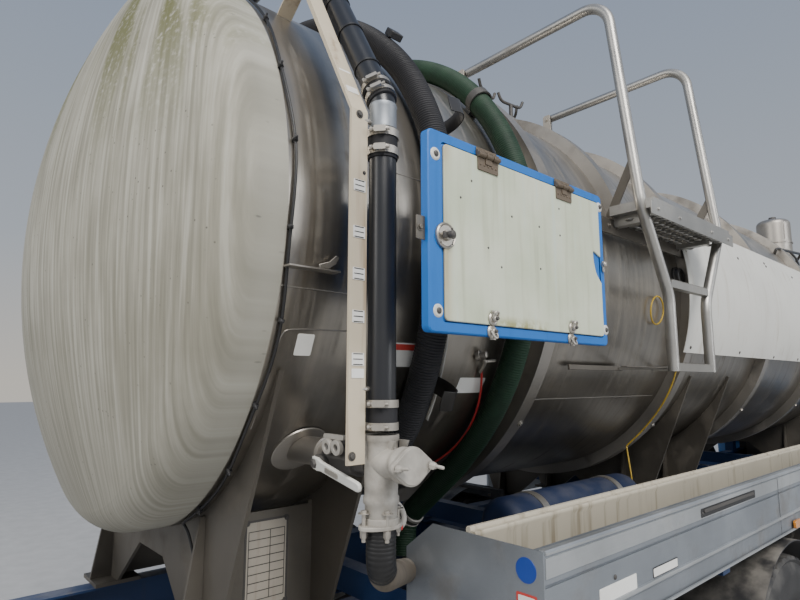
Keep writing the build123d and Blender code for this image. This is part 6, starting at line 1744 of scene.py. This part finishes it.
ends = [
    turned((PUMP_END, PUMP_Y, PUMP_Z), -ALONG_X, end_profile, 40),
    *(
        bolt((PUMP_END - 0.01, PUMP_Y + dy, PUMP_Z + dz), -ALONG_X, 0.018)
        for dy, dz in circle(0.125, EIGHT_ANGLES)
    )
]
fixed("pump_ribs", oily_iron, *ribs, *ends)


def propeller(start, end, radius=0.05):
    """A hollow-looking shaft with a joint yoke at each end: its radius changes along a straight line."""
    start, end = np.asarray(start, float), np.asarray(end, float)
    length = float(np.linalg.norm(end - start))
    profile = [(0, 0.03), (0.01, 0.07), (0.025, 0.07), (0.03, 0.045), (0.09, 0.04), (0.12, radius)]
    profile += [(length - distance, reach) for distance, reach in reversed(profile)]
    return turned(start, end - start, profile, 28)


fixed(
    "propeller_shafts", oily_iron, propeller((2.86, 0.0, 0.76), (0.62, 0.0, 0.66)),
    propeller((0.58, 0.0, 0.66), (-1.35, 0.0, 0.55)), propeller((-1.66, 0.0, 0.53), (-2.71, 0.0, 0.53)),
    turned((0.57, 0.0, 0.66), ALONG_X, [(0, 0.06), (0.01, 0.085), (0.05, 0.085), (0.06, 0.06)], 30),
    *(
        flat_bar(np.array([0.6, side * 0.07, 0.68]), np.array([0.6, side * 0.355, 0.80]), 0.06, 0.01, ALONG_X)
        for side in (1, -1)
    )
)
mudflaps = []
for y in (0.93, -0.93):
    mudflaps.append(slab(0.58, 0.40, 0.03, (-3.397, y, 0.56), 0.006, OUT))
    for level in np.linspace(0.42, 0.68, 9):
        mudflaps.append(slab(0.50, 0.008, 0.004, (-3.403, y, level), 0.003, OUT))
    mudflaps.append(block((-3.404, y - 0.28, 0.725), (-3.392, y + 0.28, 0.765)))
fixed("mudflaps", trim_black, *mudflaps, bevel=0.002)
lines = []
for side, height in ((1, 0.93), (-1, 0.93), (-1, 0.90)):
    run = [
        (x, side * (0.436 + 0.004 * math.sin(x * 3.1)), height + 0.004 * math.sin(x * 4.3))
        for x in np.linspace(-3.1, 0.1, 24)
    ]
    lines.append(tube(even(rounded(run, 0.1), 0.03), 0.006, 8))
fixed("air_lines", cable_black, *lines)
fixed(
    "air_line_clips", zinc,
    *(
        block((x - 0.008, y, 0.888), (x + 0.008, y + 0.0175, 0.942)) for x in np.linspace(-2.9, -0.1, 9)
        for y in (0.4295, -0.447)
    ), bevel=0.002
)
rail_bolts = [
    bolt((x + dx, side * 0.4302, 0.895 + dz), LEFT * side, 0.022)
    for x in (-4.1, -3.45, -1.9, -1.15, 0.25, 1.2) for side in (1, -1) for dx in (-0.03, 0.03)
    for dz in (-0.07, 0.08)
]
fixed("rail_bolts", oily_iron, *rail_bolts)

# Reflectors on the mudflaps, bands round the receiver
reflectors = [
    turned((-3.4035, side * 1.08, 0.47), -ALONG_X, [(0, 0.04), (0.006, 0.04), (0.008, 0.033)], 30)
    for side in (1, -1)
]
fixed("rear_reflectors", lamp_red, *reflectors)
receiver_bands = [band((x, -0.62, 1.233), ALONG_X, 0.1102, 0.1145, 0.02, 48) for x in (-2.6, -2.0)]
fixed("receiver_bands", zinc, *receiver_bands)

# Floor, light and camera
LIGHTS_AIM = np.array([-2.0, 0.0, 2.0])


def stance(right, up, back, place):
    """World matrix of an object from its own three ways and its place."""
    return Matrix([[right[k], up[k], back[k], place[k]] for k in range(3)] + [[0, 0, 0, 1]])


def studio():
    """A pale floor, a sky that is bright low down and blue above, three area lights and a sun."""
    mesh = bpy.data.meshes.new("floor")
    reach, level = 60.0, -0.002
    corners = [(-reach, -reach, level), (reach, -reach, level), (reach, reach, level), (-reach, reach, level)]
    mesh.from_pydata(corners, [], [(0, 1, 2, 3)])
    mesh.materials.append(plain("floor_pale", (0.46, 0.455, 0.44), 0.85))
    floor = bpy.data.objects.new("floor", mesh)
    bpy.context.scene.collection.objects.link(floor)
    world = bpy.data.worlds.new("pale_sky")
    world.use_nodes = True
    nodes, links = world.node_tree.nodes, world.node_tree.links
    way = nodes.new("ShaderNodeTexCoord")
    split = nodes.new("ShaderNodeSeparateXYZ")
    ramp = nodes.new("ShaderNodeValToRGB")
    links.new(way.outputs["Generated"], split.inputs[0])
    links.new(split.outputs["Z"], ramp.inputs[0])
    links.new(ramp.outputs[0], nodes["Background"].inputs[0])
    ramp.color_ramp.elements[0].position = 0.0
    ramp.color_ramp.elements[0].color = (0.95, 0.90, 0.82, 1)
    ramp.color_ramp.elements[1].position = 1.0
    ramp.color_ramp.elements[1].color = (0.24, 0.36, 0.62, 1)
    middle = ramp.color_ramp.elements.new(0.22)
    middle.color = (0.66, 0.72, 0.80, 1)
    nodes["Background"].inputs[1].default_value = 0.62
    bpy.context.scene.world = world
    for name, place, kind, size, power, tint in (
        ("key_light", (-7.0, -9.0, 10.0), "AREA", 4.0, 1300, (1.0, 0.96, 0.90)),
        ("rear_light", (-13.0, 1.0, 6.0), "AREA", 5.0, 450, (1.0, 0.97, 0.92)),
        ("side_light", (3.0, -12.0, 5.0), "AREA", 5.0, 450, (0.95, 0.97, 1.0)),
        ("even_light", (-5.0, -6.0, 11.0), "SUN", 0.6, 1.3, (1.0, 0.97, 0.93))
    ):
        light = bpy.data.lights.new(name, kind)
        if kind == "AREA":
            light.size = size
        else:
            light.angle = size
        light.energy = power
        light.color = tint
        lamp = bpy.data.objects.new(name, light)
        bpy.context.scene.collection.objects.link(lamp)
        back, right, up = axes_along(np.array(place) - LIGHTS_AIM)
        lamp.matrix_world = stance(right, up, back, place)


def photo_camera():
    """Camera at the photograph's place: behind the right rear corner, looking along and a little up."""
    lens = bpy.data.cameras.new("photo_camera")
    lens.sensor_width = 36.0
    lens.lens = 25.76
    lens.clip_start = 0.02
    camera = bpy.data.objects.new("photo_camera", lens)
    bpy.context.scene.collection.objects.link(camera)
    right = (0.7486, -0.6630, 0.0)
    up = (-0.0940, -0.1061, 0.9899)
    back = (-0.6564, -0.7410, -0.1418)
    place = (-4.635, -2.115, 1.797)
    camera.matrix_world = stance(right, up, back, place)
    bpy.context.scene.camera = camera


studio()
photo_camera()
